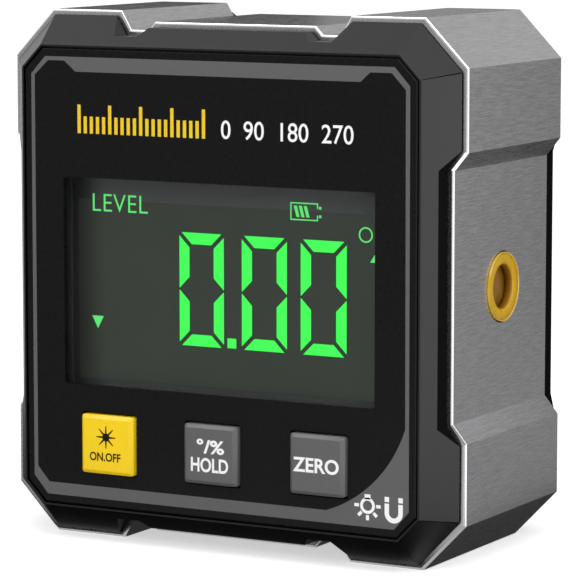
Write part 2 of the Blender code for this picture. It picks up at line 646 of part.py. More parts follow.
def front_panel():
    """The printed overlay with its window and key openings."""
    panel_edge = inset(CREST, RIM_WIDTH + SEAM)
    panel = loft("front_panel", [(inset(panel_edge, PANEL_EDGE), FRONT_FACE),
                                 (panel_edge, FRONT_FACE + PANEL_EDGE),
                                 (panel_edge, FRONT_FACE + PANEL_THICKNESS)], PRINTED_PANEL)
    cut(panel, plate("window_opening", window_outline(0), FRONT_FACE - BEYOND, POCKET_FLOOR + BEYOND,
                     centre=(0, WINDOW_CENTRE_Z)))
    for label, centre in zip(KEY_NAMES, KEY_CENTRES):
        cut(panel, key_hole(f"panel_hole_{label}", FRONT_FACE - BEYOND, POCKET_FLOOR + BEYOND, centre))


def display():
    """The clear pane, gasket, glass, light guide, holder and contact strip, front to back."""
    centre = (0, WINDOW_CENTRE_Z)
    step = PANE_FRONT
    loft("display_pane", [
        (window_outline(-SEAM), FRONT_FACE + PANE_SUNK), (window_outline(-SEAM), step),
        (window_outline(PANE_LAP), step), (window_outline(PANE_LAP), step + PANE_THICKNESS)],
         CLEAR_ACRYLIC, centre)
    gasket = plate("display_gasket", window_outline(PANE_LAP + GASKET_WIDTH), GASKET_FRONT,
                   GASKET_FRONT + GASKET_THICKNESS, BLACK_FOAM, centre)
    cut(gasket, plate("gasket_opening", window_outline(PANE_LAP), GASKET_FRONT - BEYOND,
                      GASKET_FRONT + BEYOND, centre=centre))
    plate("display_glass", round_box(GLASS_HALF_X, GLASS_HALF_Z, CORNER_SHARP, 1), GLASS_FRONT,
          GLASS_FRONT + GLASS_THICKNESS, DISPLAY_GLASS, centre)
    plate("light_guide", round_box(GUIDE_HALF_X, GUIDE_HALF_Z, CORNER_SOFT, 2), GUIDE_FRONT,
          GUIDE_FRONT + GUIDE_THICKNESS, MILKY_ACRYLIC, (0, WINDOW_CENTRE_Z + STRIP_HEIGHT / 2))
    inner_x, inner_z = GLASS_HALF_X + SEAT, GLASS_HALF_Z + SEAT
    holder = plate("display_holder", round_box(inner_x + HOLDER_WALL, inner_z + HOLDER_WALL, CORNER_ROUND, 3),
                   GLASS_FRONT - SEAT, BOARD_FRONT - SEAT, WHITE_ABS, centre)
    cut(holder, plate("holder_opening", round_box(inner_x, inner_z, CORNER_SHARP, 2), GLASS_FRONT - BEYOND,
                      BOARD_FRONT + BEYOND, centre=centre))
    strip_z = WINDOW_CENTRE_Z - GLASS_HALF_Z + STRIP_HEIGHT / 2 + SEAT
    strip_front = GLASS_FRONT + GLASS_THICKNESS + SEAT
    strip_end = GLASS_HALF_X - STRIP_MARGIN
    block("contact_strip", (-strip_end, strip_front, strip_z - STRIP_HEIGHT / 2),
          (strip_end, BOARD_FRONT - SEAT, strip_z + STRIP_HEIGHT / 2), SILICONE)


def keys():
    """Three key caps, each with the plunger that it pushes and the switch body around it."""
    for label, (x, z) in zip(KEY_NAMES, KEY_CENTRES):
        place_at = (x, FRONT_FACE - KEY_PROUD, z)
        half_x, half_z = KEY_WIDTH / 2, KEY_HEIGHT / 2
        cap = round_box(half_x, half_z, CORNER_SHARP, 2)
        face = round_box(half_x - KEY_EDGE, half_z - KEY_EDGE, BROKEN_EDGE, 2)
        wide = round_box(half_x + KEY_FLANGE, half_z + KEY_FLANGE, CORNER_SOFT, 2)
        flange_front = BEZEL_INNER + SEAT - place_at[1]
        flange_back = flange_front + KEY_FLANGE_THICKNESS
        look = KEY_YELLOW if label == "power" else KEY_GREY
        key = loft(f"key_{label}", [
            (face, 0), (cap, KEY_EDGE), (cap, flange_front),
            (wide, flange_front), (wide, flange_back)], look, location=place_at)
        stem = rod(f"stem_{label}", "Y", (0, 0, 0), KEY_STEM_RADIUS, flange_back - SEAT,
                   PLUNGER_FRONT - SEAT - place_at[1], sides=FINE_ROUND, location=place_at)
        join(key, stem)
        plunger_back = SWITCH_BACK - SWITCH_FLOOR - SEAT - KEY_TRAVEL
        rod(f"plunger_{label}", "Y", (0, 0, 0), PLUNGER_RADIUS, PLUNGER_FRONT - place_at[1],
            plunger_back - place_at[1], PLUNGER_BLACK, sides=FINE_ROUND, edge=BROKEN_EDGE, location=place_at)
        side = SWITCH_SIDE / 2
        switch = block(f"switch_{label}", (x - side, SWITCH_FRONT, z - side),
                       (x + side, SWITCH_BACK, z + side), NICKEL, bevel=BROKEN_EDGE)
        cut(switch, rod(f"switch_well_{label}", "Y", (x, 0, z), PLUNGER_RADIUS + SEAM,
                        SWITCH_FRONT - SEAT, SWITCH_BACK - SWITCH_FLOOR, sides=FINE_ROUND))


def circuit_board():
    """The main board, notched round the screw posts, and the parts on its back."""
    board = plate("main_board", chamfered_box(BOARD_HALF_X, BOARD_HALF_Z, BOARD_CORNER, BOARD_CORNER),
                  BOARD_FRONT, BOARD_BACK, BOARD_GREEN)
    for i, (x, z) in enumerate(POSTS):
        cut(board, rod(f"board_notch_{i + 1}", "Y", (x, 0, z), POST_RADIUS + SEAT,
                       BOARD_FRONT - SEAT, BOARD_BACK + SEAT, sides=FINE_ROUND))

    for name, size, at, look, edge in (
            ("controller_chip", CHIP_SIZE, CHIP_AT, CHIP_BLACK, BROKEN_EDGE),
            ("tilt_sensor", SENSOR_SIZE, SENSOR_AT, CHIP_BLACK, BROKEN_EDGE),
            ("clock_crystal", CRYSTAL_SIZE, CRYSTAL_AT, NICKEL, CRYSTAL_EDGE)):
        (width, height, thickness), (x, z) = size, at
        block(name, (x - width / 2, COMPONENT_FOOT, z - height / 2),
              (x + width / 2, COMPONENT_FOOT + thickness, z + height / 2), look, edge)
    top = COMPONENT_FOOT + BUZZER_HEIGHT
    turned("buzzer", [
        (0, COMPONENT_FOOT), (BUZZER_RADIUS, COMPONENT_FOOT), (BUZZER_RADIUS, top), (BUZZER_HOLE, top),
        (BUZZER_HOLE, top - BUZZER_HOLE_DEPTH), (0, top - BUZZER_HOLE_DEPTH)],
        "Y", (BUZZER_AT[0], 0, BUZZER_AT[1]), CHIP_BLACK)


def laser():
    """The outlet ring in the right wall, its lens, and the laser barrel in a cradle behind it."""
    axis = (0, LASER_FROM_FRONT, 0)
    face = RECESS_X + OUTLET_PROUD
    inner = BORE_HALF_X + OUTLET_PROUD / 2
    lens_edge = inner + LENS_THICKNESS - LENS_DOME
    lens_seat = lens_edge + SEAT
    mouth = []
    steps = 3
    for i in range(steps + 1):
        turn = math.pi / 2 * i / steps
        radius = OUTLET_BORE + OUTLET_MOUTH * (1 - math.sin(turn))
        mouth.append((radius, face - OUTLET_MOUTH_DEPTH * (1 - math.cos(turn))))
    turned("outlet_ring", [
        (OUTLET_RADIUS, face - OUTLET_PROUD), (OUTLET_RADIUS - OUTLET_EDGE, face),
        *mouth, (OUTLET_BORE, lens_seat), (LENS_RADIUS + SEAM, lens_seat),
        (LENS_RADIUS + SEAM, inner), (OUTLET_RADIUS, inner)],
        "X", axis, OUTLET_YELLOW, closed=True, sides=3 * ROUND // 2)
    dome = []
    for i in range(steps + 1):
        radius = LENS_RADIUS * (1 - i / steps)
        dome.append((radius, lens_edge + LENS_DOME * (1 - (radius / LENS_RADIUS) ** 2)))
    turned("outlet_lens", [(0, inner), (LENS_RADIUS, inner), *dome], "X", axis, AMBER_LENS)
    muzzle = inner - SEAT
    breech = muzzle - BARREL_LENGTH
    turned("laser_barrel", [
        (0, breech), (BARREL_RADIUS - BARREL_EDGE, breech), (BARREL_RADIUS, breech + BARREL_EDGE),
        (BARREL_RADIUS, muzzle - BARREL_EDGE), (BARREL_RADIUS - BARREL_EDGE, muzzle),
        (BARREL_MOUTH, muzzle), (BARREL_MOUTH, muzzle - BARREL_MOUTH_DEPTH),
        (0, muzzle - BARREL_MOUTH_DEPTH)], "X", axis, BRASS)
    cradle_end = muzzle - (BARREL_LENGTH - CRADLE_LENGTH) / 2
    cradle = block("laser_cradle", (cradle_end - CRADLE_LENGTH, COMPONENT_FOOT, -CRADLE_HALF),
                   (cradle_end, LASER_FROM_FRONT + CRADLE_BACK, CRADLE_HALF), PLUNGER_BLACK, BROKEN_EDGE)
    cut(cradle, rod("cradle_bore", "X", axis, BARREL_RADIUS + SEAM, cradle_end - CRADLE_LENGTH - BEYOND,
                    cradle_end + BEYOND))
    driver_end = breech - SEAT
    block("laser_driver", (driver_end - DRIVER_LENGTH, LASER_FROM_FRONT - DRIVER_THICKNESS / 2,
                           -DRIVER_WIDTH / 2),
          (driver_end, LASER_FROM_FRONT + DRIVER_THICKNESS / 2, DRIVER_WIDTH / 2), BOARD_GREEN)
    start = driver_end - DRIVER_LENGTH - SEAT
    foot = start - LASER_LEAD_REACH
    lead("laser_lead", [
        (start, LASER_FROM_FRONT, 0), (start - LASER_LEAD_REACH / 2, LASER_FROM_FRONT - LEAD_BEND / 4, 0),
        (foot, LASER_FROM_FRONT - LEAD_BEND, 0), (foot, COMPONENT_FOOT + LEAD_BEND, 0),
        (foot, COMPONENT_FOOT, 0)], RED_LEAD)


def rear_cover():
    """The black back shell with its skirt, battery bay, door recess and screw posts."""
    inner_back = BACK_FACE - BACK_WALL
    cover = tapered_shell("rear_cover", RING_DEPTH, BACK_FACE)
    join(cover, plate("cover_skirt", SKIRT, RING_DEPTH - SKIRT_DEPTH, inner_back + SKIRT_ROOT))
    cut(cover, plate("cover_cavity", CAVITY, RING_DEPTH - SKIRT_DEPTH - BEYOND, inner_back))
    bay_edge = round_box(BAY_OUTER_X, BAY_HALF_Z + BAY_WALL, CORNER_SOFT, 2)
    join(cover, plate("bay_outside", bay_edge, BAY_FLOOR_FRONT, inner_back + BAY_ROOT))
    cut(cover, plate("bay_inside", round_box(BAY_HALF_X, BAY_HALF_Z, CORNER_SOFT, 2), BAY_FLOOR_BACK,
                     DOOR_SEAT - LEDGE_THICKNESS))
    cut(cover, plate("bay_mouth", round_box(MOUTH_HALF_X, MOUTH_HALF_Z, CORNER_SOFT, 2),
                     DOOR_SEAT - LEDGE_THICKNESS - BEYOND, BACK_FACE + BEYOND))
    cut(cover, plate("door_recess", round_box(DOOR_HALF_X + SEAM, DOOR_HALF_Z + SEAM, CORNER_ROUND, 3),
                     DOOR_SEAT, BACK_FACE + BEYOND))
    cut(cover, rod("finger_notch", "Y", (0, 0, -DOOR_HALF_Z), NOTCH_RADIUS, BACK_FACE - NOTCH_DEPTH,
                   BACK_FACE + BEYOND))
    slot_half = TAB_WIDTH / 2 + SEAM
    for side in (1, -1):
        cut(cover, block(f"tab_slot_{(3 - side) // 2}",
                         (PLATE_INNER_X - SEAM, BAY_FLOOR_FRONT - BEYOND, side * TAB_Z - slot_half),
                         (PLATE_OUTER_X + SEAM, BAY_FLOOR_BACK + BEYOND, side * TAB_Z + slot_half)))
    for i, (x, z) in enumerate(POSTS):
        join(cover, rod(f"rear_post_{i + 1}", "Y", (x, 0, z), REAR_POST_RADIUS, POST_JOINT + SEAT,
                        inner_back + POST_ROOT, sides=FINE_ROUND))
        cut(cover, rod(f"screw_way_{i + 1}", "Y", (x, 0, z), SCREW_RADIUS + SCREW_CLEARANCE,
                       POST_JOINT - BEYOND, BACK_FACE + BEYOND, sides=ROUND // 2))
        cut(cover, rod(f"head_well_{i + 1}", "Y", (x, 0, z), HEAD_RADIUS + SEAM,
                       BACK_FACE - HEAD_SINK, BACK_FACE + BEYOND, sides=FINE_ROUND))
    return cover


def battery_door():
    """The lift-off door, with grip grooves at its lower edge. Its origin is at its own middle."""
    at = (0, BACK_FACE, 0)
    outline = round_box(DOOR_HALF_X, DOOR_HALF_Z, CORNER_ROUND - SEAM, 3)
    door = loft("battery_door", [
        (outline, -DOOR_THICKNESS), (outline, -DOOR_EDGE), (inset(outline, DOOR_EDGE), 0)],
        BLACK_ABS, location=at)
    for i in range(GRIP_COUNT):
        z = GRIP_START - DOOR_HALF_Z + i * GRIP_PITCH
        cut(door, plate(f"grip_{i + 1}", round_box(GRIP_LENGTH / 2, GRIP_WIDTH / 2, CORNER_SHARP, 3),
                        BACK_FACE - GRIP_DEPTH, BACK_FACE + BEYOND, centre=(0, z)))


def batteries():
    """Two AAA cells side by side, facing opposite ways, with their plates and springs."""
    for label, facing in (("upper", -1), ("lower", 1)):
        tip = PLATE_INNER_X - SEAT
        shoulder = tip - CELL_NUB_LENGTH
        base = SPRING_ROOM - PLATE_INNER_X
        profile = [(0, base), (CELL_RADIUS - CELL_EDGE, base), (CELL_RADIUS, base + CELL_EDGE),
                   (CELL_RADIUS, shoulder - CELL_EDGE), (CELL_RADIUS - CELL_EDGE, shoulder),
                   (CELL_NUB_RADIUS, shoulder), (CELL_NUB_RADIUS, tip), (0, tip)]
        profile = [(radius, facing * along) for radius, along in profile]
        height = CELL_PITCH / 2 if label == "upper" else -CELL_PITCH / 2
        turned(f"battery_{label}", profile, "X", (0, CELL_AXIS, height), CELL_JACKET)
        spring(f"spring_{label}", facing, base, height)


def spring(name, facing, base, height):
    """A flat conical coil between a cell's bare end and its contact plate."""
    start = -(PLATE_INNER_X - SEAT) * facing
    stop = (base - SEAT) * facing
    wire_start = start + facing * SPRING_WIRE
    wire_stop = stop - facing * SPRING_WIRE
    steps = int(SPRING_TURNS * COIL_STEPS)
    points = []
    for i in range(steps + 1):
        part = i / steps
        angle = 2 * math.pi * SPRING_TURNS * part
        radius = SPRING_OUTER + (SPRING_INNER - SPRING_OUTER) * part
        points.append((wire_start + (wire_stop - wire_start) * part,
                       CELL_AXIS + radius * math.cos(angle), height + radius * math.sin(angle)))
    tube(name, points, SPRING_WIRE, NICKEL, 1)


def contacts():
    """The bridge plate at the left end and one tabbed plate for each cell at the right end."""
    outer, inner = PLATE_OUTER_X, PLATE_INNER_X
    low_y, high_y = CELL_AXIS - CONTACT_HALF, CELL_AXIS + CONTACT_HALF
    reach = CELL_PITCH / 2 + CONTACT_HALF
    block("contact_bridge", (-outer, low_y, -reach), (-inner, high_y, reach), NICKEL)
    for label, side in (("negative", 1), ("positive", -1)):
        near, far = CELL_PITCH / 2 - CONTACT_HALF, reach
        low_z, high_z = (near, far) if side > 0 else (-far, -near)
        piece = block(f"contact_{label}", (inner, low_y, low_z), (outer, high_y, high_z), NICKEL)
        join(piece, block(f"tab_{label}", (inner, BAY_FLOOR_FRONT - TAB_LENGTH, side * TAB_Z - TAB_WIDTH / 2),
                          (outer, low_y + BEYOND, side * TAB_Z + TAB_WIDTH / 2)))
        tab_x = (inner + outer) / 2
        tab_y = BAY_FLOOR_FRONT - TAB_LENGTH - SEAT
        look = BLACK_LEAD if label == "negative" else RED_LEAD
        foot_x = CAVITY_HALF_X - LEAD_INSET
        foot_z = TAB_Z + LEAD_BEND
        lead(f"lead_{label}", [
            (tab_x, tab_y, side * TAB_Z), (tab_x, tab_y - LEAD_BEND, side * TAB_Z),
            ((tab_x + foot_x) / 2, (tab_y + COMPONENT_FOOT) / 2, side * (TAB_Z + foot_z) / 2),
            (foot_x, COMPONENT_FOOT + LEAD_BEND, side * foot_z),
            (foot_x, COMPONENT_FOOT, side * foot_z)], look)


def case_screws():
    """Four screws that hold the cover to the bezel's posts, with the ring between them."""
    seat = BACK_FACE - HEAD_SINK + SEAT
    tip = POST_JOINT - SCREW_BITE
    for i, (x, z) in enumerate(POSTS):
        screw = turned(f"case_screw_{i + 1}", [
            (0, tip), (SCREW_RADIUS * TIP_TAPER, tip), (SCREW_RADIUS, tip + SCREW_RADIUS),
            (SCREW_RADIUS, seat), (HEAD_RADIUS, seat), (HEAD_RADIUS, seat + HEAD_HEIGHT * HEAD_SHOULDER),
            (HEAD_RADIUS * HEAD_TOP, seat + HEAD_HEIGHT), (0, seat + HEAD_HEIGHT)],
            "Y", (x, 0, z), SCREW_STEEL, sides=FINE_ROUND)
        slim = DRIVE_RADIUS * DRIVE_SLIMNESS
        for k, (half_x, half_z) in enumerate([(DRIVE_RADIUS, slim), (slim, DRIVE_RADIUS)]):
            cut(screw, block(f"drive_{i + 1}_{k + 1}",
                             (x - half_x, seat + HEAD_HEIGHT - DRIVE_DEPTH, z - half_z),
                             (x + half_x, seat + HEAD_HEIGHT + BEYOND, z + half_z)))


ring_frame()
magnets()
front_bezel()
front_panel()
display()
keys()
circuit_board()
laser()
rear_cover()
battery_door()
batteries()
contacts()
case_screws()
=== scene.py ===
"""Looks of the digital angle gauge, laid out as a Blender add-on.

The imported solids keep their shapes. This script gives them their finishes, adds what is printed,
lit, soldered or marked on them, and sets the stage, the lamps and the camera.
"""
import json
import math

import bmesh
import bpy
from bpy.props import FloatProperty, FloatVectorProperty, IntProperty, PointerProperty
from mathutils import Matrix, Vector

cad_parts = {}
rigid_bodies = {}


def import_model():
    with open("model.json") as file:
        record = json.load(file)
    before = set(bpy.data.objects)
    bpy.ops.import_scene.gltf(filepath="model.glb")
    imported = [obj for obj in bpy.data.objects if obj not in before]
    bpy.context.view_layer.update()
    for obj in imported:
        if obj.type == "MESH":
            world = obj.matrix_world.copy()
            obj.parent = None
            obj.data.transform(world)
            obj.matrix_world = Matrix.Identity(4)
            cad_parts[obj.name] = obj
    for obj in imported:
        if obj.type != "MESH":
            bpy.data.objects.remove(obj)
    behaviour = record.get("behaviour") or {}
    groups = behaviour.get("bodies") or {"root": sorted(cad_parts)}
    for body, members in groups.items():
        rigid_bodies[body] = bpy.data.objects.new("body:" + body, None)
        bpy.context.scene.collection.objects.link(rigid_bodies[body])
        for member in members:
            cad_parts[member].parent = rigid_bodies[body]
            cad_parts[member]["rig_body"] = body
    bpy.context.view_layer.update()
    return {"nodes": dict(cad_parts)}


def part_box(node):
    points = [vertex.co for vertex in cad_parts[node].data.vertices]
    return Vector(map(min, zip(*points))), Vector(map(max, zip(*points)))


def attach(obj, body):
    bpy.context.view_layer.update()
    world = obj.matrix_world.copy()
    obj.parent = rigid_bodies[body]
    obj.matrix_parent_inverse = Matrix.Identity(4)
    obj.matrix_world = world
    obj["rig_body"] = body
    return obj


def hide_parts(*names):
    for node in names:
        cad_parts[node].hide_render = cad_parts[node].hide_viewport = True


bl_info = {
    "name": "Digital angle gauge looks",
    "version": (1, 0, 0),
    "blender": (4, 5, 0),
    "location": "3D View > Sidebar > Gauge",
    "description": "Finishes, prints and lights a digital angle gauge",
    "category": "Object",
}

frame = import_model()

MM = 0.001
MERGE = 0.0002 * MM
INK = 0.02 * MM          # thickness of printed ink
SECOND_INK = 0.035 * MM  # height of what is printed over another print
FILM = 0.03 * MM         # thickness of the display's polarizing film
INK_SUNK = 0.004 * MM    # how far a print's back lies inside what it is printed on
SHARP = math.radians(35)
WALL_SLOPE = 0.1         # most that the normal of a wall along the depth leans out of it
OUTSIDE = 22 * MM        # walls further out than this are on a shell's outside
BORE_REACH = 2.5 * MM    # distance from the outlet's axis within which a face is on the bore
LOOKS_DOWN = -0.2        # height of the normal of a chamfer below, which stays flat
CUT_LOW, CUT_HIGH = 0.6, 0.8     # share of a ring's edge chamfer's normal that is along the depth
DISSOLVE = math.radians(1)       # faces closer to one plane than this are merged
TEXT_SIZE = 4 * MM       # of a wording before it is stretched to its box
MIX_FACTOR, MIX_A, MIX_B, MIX_RESULT = 0, 6, 7, 2    # sockets of a colour mix node

RING_LOW, RING_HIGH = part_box("side_frame")
MIDDLE = Vector((0, RING_LOW.y, (RING_LOW.z + RING_HIGH.z) / 2))     # middle of the ring's front
PANEL_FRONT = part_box("front_panel")[0].y
OUTLET_LOW, OUTLET_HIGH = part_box("outlet_ring")
OUTLET_MIDDLE = (OUTLET_LOW + OUTLET_HIGH) / 2
GLASS_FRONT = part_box("display_glass")[0].y
FILM_FRONT = GLASS_FRONT - FILM


def linear_rgb(hex_colour):
    """An sRGB hex colour as linear red, green and blue."""
    channels = [int(hex_colour[i:i + 2], 16) / 255 for i in (0, 2, 4)]
    return [c / 12.92 if c <= 0.04045 else ((c + 0.055) / 1.055) ** 2.4 for c in channels]


def colour(name, description, hex_colour):
    return FloatVectorProperty(name=name, description=description, subtype="COLOR", size=3,
                               min=0, max=1, default=linear_rgb(hex_colour))


def length(name, description, millimetres):
    return FloatProperty(name=name, description=description, subtype="DISTANCE", unit="LENGTH",
                         min=0, precision=5, default=millimetres * MM)


def share(name, description, default, most=1.0):
    return FloatProperty(name=name, description=description, subtype="FACTOR", min=0, max=most,
                         default=default)


def angle(name, description, degrees):
    return FloatProperty(name=name, description=description, subtype="ANGLE", unit="ROTATION",
                         default=math.radians(degrees))


# Settings that a user would change
class CaseLook(bpy.types.PropertyGroup):
    """Ring, shells and fasteners."""
    aluminium: colour("Aluminium", "Reflectance of the satin anodised ring", "BEBEC0")
    aluminium_roughness: share("Ring roughness", "Roughness of the brushed ring", 0.28)
    streak_width: length("Streak width", "Width of a brushing streak", 0.18)
    streak_length: length("Streak length", "Length of a brushing streak along the depth", 2.8)
    cut_edge: colour("Cut edge", "Bare metal of the ring's cut edges", "D2D2D4")
    shell: colour("Shell", "Black of the moulded shells", "0D0D0D")
    # painted shade: a darker black for the shells' outer side walls, which lie in shade beside the
    # ring
    painted_wall_shade: colour("Shell wall", "Black of the walls along the mould's draw", "090909")
    shell_roughness: share("Shell roughness", "Roughness of the moulded shells", 0.4)
    shell_edge: length("Shell edge", "Rounding of the shells' edges", 0.08)
    shell_grain: length("Shell grain", "Grain of the mould's eroded surface", 0.16)


class PanelLook(bpy.types.PropertyGroup):
    """Front panel and its print."""
    ground: colour("Ground", "Black of the overlay", "141414")
    trim: colour("Trim", "Grey of the printed trim", "606060")
    scale_ink: colour("Scale", "Yellow of the graduated scale", "F2CB1B")
    white_ink: colour("White", "White of the numbers and signs", "FAFAFA")
    scale_marks: IntProperty(name="Scale marks", description="Marks of the graduated scale",
                             min=2, max=60, default=21)
    scale_length: length("Scale length", "Length of the graduated scale", 16.5)
    mark_width: length("Mark width", "Width of a scale mark", 0.42)
    long_mark: length("Long mark", "Height of every fifth scale mark", 3.2)
    short_mark: length("Short mark", "Height of the other scale marks", 1.9)


class DisplayLook(bpy.types.PropertyGroup):
    """Display ground and its lit marks."""
    ground: colour("Ground", "Dark ground of the display", "363C35")
    # shade and margin_shade are painted shade, where the window's left wall shades the display's
    # left end
    shade: colour("Shaded ground", "Ground at the display's left end", "232622")
    margin_shade: colour("Shaded margin", "Bare glass at the display's left end", "2B2D2C")
    margin: colour("Margin", "Bare glass round the ground", "4F5351")
    lit: colour("Lit marks", "Green of the lit marks", "45FF5A")
    lit_small: colour("Small marks", "Green of the thin marks", "62E377")
    # outline is the dark green band drawn round each numeral bar
    outline: colour("Outline", "Dark seam round the numerals' bars", "12351A")
    glow: share("Glow", "Strength of the lit marks", 1.05, 4)
    numeral_height: length("Numeral height", "Height of a numeral", 12.7)
    numeral_width: length("Numeral width", "Width of a numeral", 5.7)
    bar: length("Bar", "Thickness of a numeral's bar", 1.3)
    bar_gap: length("Bar gap", "Gap at the outer end of a bar", 0.3)


class KeyLook(bpy.types.PropertyGroup):
    """Key caps and their legends."""
    yellow: colour("Yellow", "Power key", "FFD60C")
    grey: colour("Grey", "Hold and zero keys", "606060")
    dark_ink: colour("Dark ink", "Legend of the power key", "1A1308")
    white_ink: colour("White ink", "Legends of the grey keys", "FAFAFA")
    edge: length("Edge", "Rounding of a cap's edges", 0.03)


class LaserLook(bpy.types.PropertyGroup):
    """Outlet ring, lens and laser."""
    ring: colour("Ring", "Yellow of the outlet ring", "CFA306")
    lip: colour("Lip", "Polished lip of the outlet ring", "D2A812")
    # bore is painted shade: the darker brown of the outlet's bore wall
    bore: colour("Bore", "Shaded yellow of the outlet's bore", "9A6A12")
    lens: colour("Lens", "Tint of the outlet's lens", "8A6524")
    barrel: colour("Barrel", "Turned brass", "B08D3C")


class InsideLook(bpy.types.PropertyGroup):
    """Board, cells and contacts."""
    mask: colour("Board", "Solder mask", "14532D")
    epoxy: colour("Packages", "Moulded packages", "181818")
    nickel: colour("Nickel", "Plated steel", "B9B9B2")
    jacket: colour("Cell sleeve", "Sleeve of the cells", "3B4A5A")
    band: colour("Cell band", "Band at a cell's positive end", "B98A2E")
    red: colour("Red lead", "Insulation of the positive leads", "B01818")
    black: colour("Black lead", "Insulation of the negative lead", "121212")
    steel: colour("Screws", "Blackened steel", "3A3A3A")


class StageLook(bpy.types.PropertyGroup):
    """Floor, lamps and camera."""
    floor: colour("Floor", "Pale floor", "F2F2F2")
    azimuth: angle("Azimuth", "Camera's bearing from the front", 28.85)
    elevation: angle("Elevation", "Camera's height above the horizon", 7.14)
    distance: length("Distance", "From the camera to its target", 369.1)
    lens: FloatProperty(name="Lens", description="Focal length in millimetres", min=1,
                        default=209.75)
    lamp: share("Lamps", "Brightness of all lamps together", 1.0, 4)


class GaugeLook(bpy.types.PropertyGroup):
    """All settings of the gauge."""
    case: PointerProperty(type=CaseLook)
    panel: PointerProperty(type=PanelLook)
    display: PointerProperty(type=DisplayLook)
    keys: PointerProperty(type=KeyLook)
    laser: PointerProperty(type=LaserLook)
    inside: PointerProperty(type=InsideLook)
    stage: PointerProperty(type=StageLook)


def look():
    return bpy.context.scene.gauge_look


# Nodes and materials
def add_node(tree, kind, links=None, **settings):
    """Adds a node, sets it, and fills its inputs with values, outputs or nodes' first outputs."""
    made = tree.nodes.new(kind)
    for name, value in settings.items():
        setattr(made, name, value)
    for socket, source in (links or {}).items():
        if isinstance(source, bpy.types.Node):
            source = source.outputs[0]
        if isinstance(source, bpy.types.NodeSocket):
            tree.links.new(source, made.inputs[socket])
        else:
            made.inputs[socket].default_value = source
    return made


def surface(name, base, roughness, grain, height=0.0, tint=0.05, spread=0.06, detail=2, **sockets):
    """A Principled material whose colour, gloss and height vary with one noise.

    grain is the noise's real size along X, Y and Z, and height is that of its bumps. Further
    sockets are given by name with underscores for spaces, and stay constants on the shader.
    """
    made = bpy.data.materials.new(name)
    made.use_nodes = True
    tree = made.node_tree
    shader = tree.nodes["Principled BSDF"]
    shader.inputs["Roughness"].default_value = roughness
    for socket, value in sockets.items():
        shader.inputs[socket.replace("_", " ")].default_value = value
    place = add_node(tree, "ShaderNodeTexCoord").outputs["Object"]
    scaled = add_node(tree, "ShaderNodeMapping",
                      {"Vector": place, "Scale": [1 / size for size in grain]})
    noise = add_node(tree, "ShaderNodeTexNoise",
                     {"Vector": scaled, "Scale": 1, "Detail": detail}).outputs["Fac"]
    spans = {"Value": noise, "From Min": 0.3, "From Max": 0.7}
    amount = add_node(tree, "ShaderNodeMapRange", spans).outputs["Result"]
    mix = add_node(tree, "ShaderNodeMix", {
        MIX_FACTOR: amount, MIX_A: (*[c * (1 - tint) for c in base], 1),
        MIX_B: (*[min(1, c * (1 + tint)) for c in base], 1)}, data_type="RGBA")
    tree.links.new(mix.outputs[MIX_RESULT], shader.inputs["Base Color"])
    gloss = add_node(tree, "ShaderNodeMapRange", {
        **spans, "To Min": max(0.02, roughness - spread), "To Max": min(1, roughness + spread)})
    tree.links.new(gloss.outputs["Result"], shader.inputs["Roughness"])
    if height:
        bump = add_node(tree, "ShaderNodeBump",
                        {"Height": noise, "Strength": 1.0, "Distance": height})
        tree.links.new(bump.outputs["Normal"], shader.inputs["Normal"])
    return made


def cube(size_mm):
    """The same grain along all three axes."""
    return (size_mm * MM,) * 3


def brushed_aluminium():
    """Extruded aluminium, brushed along its depth and anodised: satin grey with fine streaks."""
    case = look().case
    grain = (case.streak_width, case.streak_length, case.streak_width)
    return surface("brushed_aluminium", case.aluminium, case.aluminium_roughness, grain,
                   0.0008 * MM, tint=0.11, spread=0.03, detail=4, Metallic=1.0)


def bright_cut_aluminium():
    """The ring's edges, cut bright after anodising: smooth metal that draws a light line."""
    return surface("bright_cut_aluminium", look().case.cut_edge, 0.2, cube(1.5), tint=0.02,
                   spread=0.02, Metallic=1.0)


def black_abs():
    """ABS moulded in a spark eroded tool: black, with a fine even grain that softens the gloss."""
    case = look().case
    grain = (case.shell_grain,) * 3
    return surface("black_abs", case.shell, case.shell_roughness, grain, 0.0022 * MM, tint=0.1,
                   IOR=1.53, Specular_IOR_Level=0.3)


def black_abs_painted_shade():
    """The same ABS on the walls along the mould's draw, painted darker and nearly without
    reflection: painted shade.
    """
    case = look().case
    return surface("black_abs_painted_shade", case.painted_wall_shade, 0.75, cube(0.3), 0.001 * MM, tint=0.1,
                   IOR=1.53, Specular_IOR_Level=0.02)


def hard_coated_acrylic():
    """Acrylic overlay with a hard coat that is nearly matt: deep black with hardly any mirror."""
    return surface("hard_coated_acrylic", look().panel.ground, 0.3, cube(0.5), 0.0004 * MM,
                   IOR=1.49, Specular_IOR_Level=0.11)


def ink(name, base, gloss=0.45, **sockets):
    """Screen printed ink: flat colour with the faint mottle of the mesh, about 0.1 mm."""
    return surface(name, base, gloss, cube(0.1), 0.0005 * MM, tint=0.025, IOR=1.5, **sockets)


def clear_acrylic():
    """Clear cast acrylic pane: a thin dark film with a faint gloss."""
    return surface("clear_acrylic", linear_rgb("1A1C1B"), 0.08, cube(8), tint=0.1, spread=0.02,
                   IOR=1.49, Alpha=0.03)


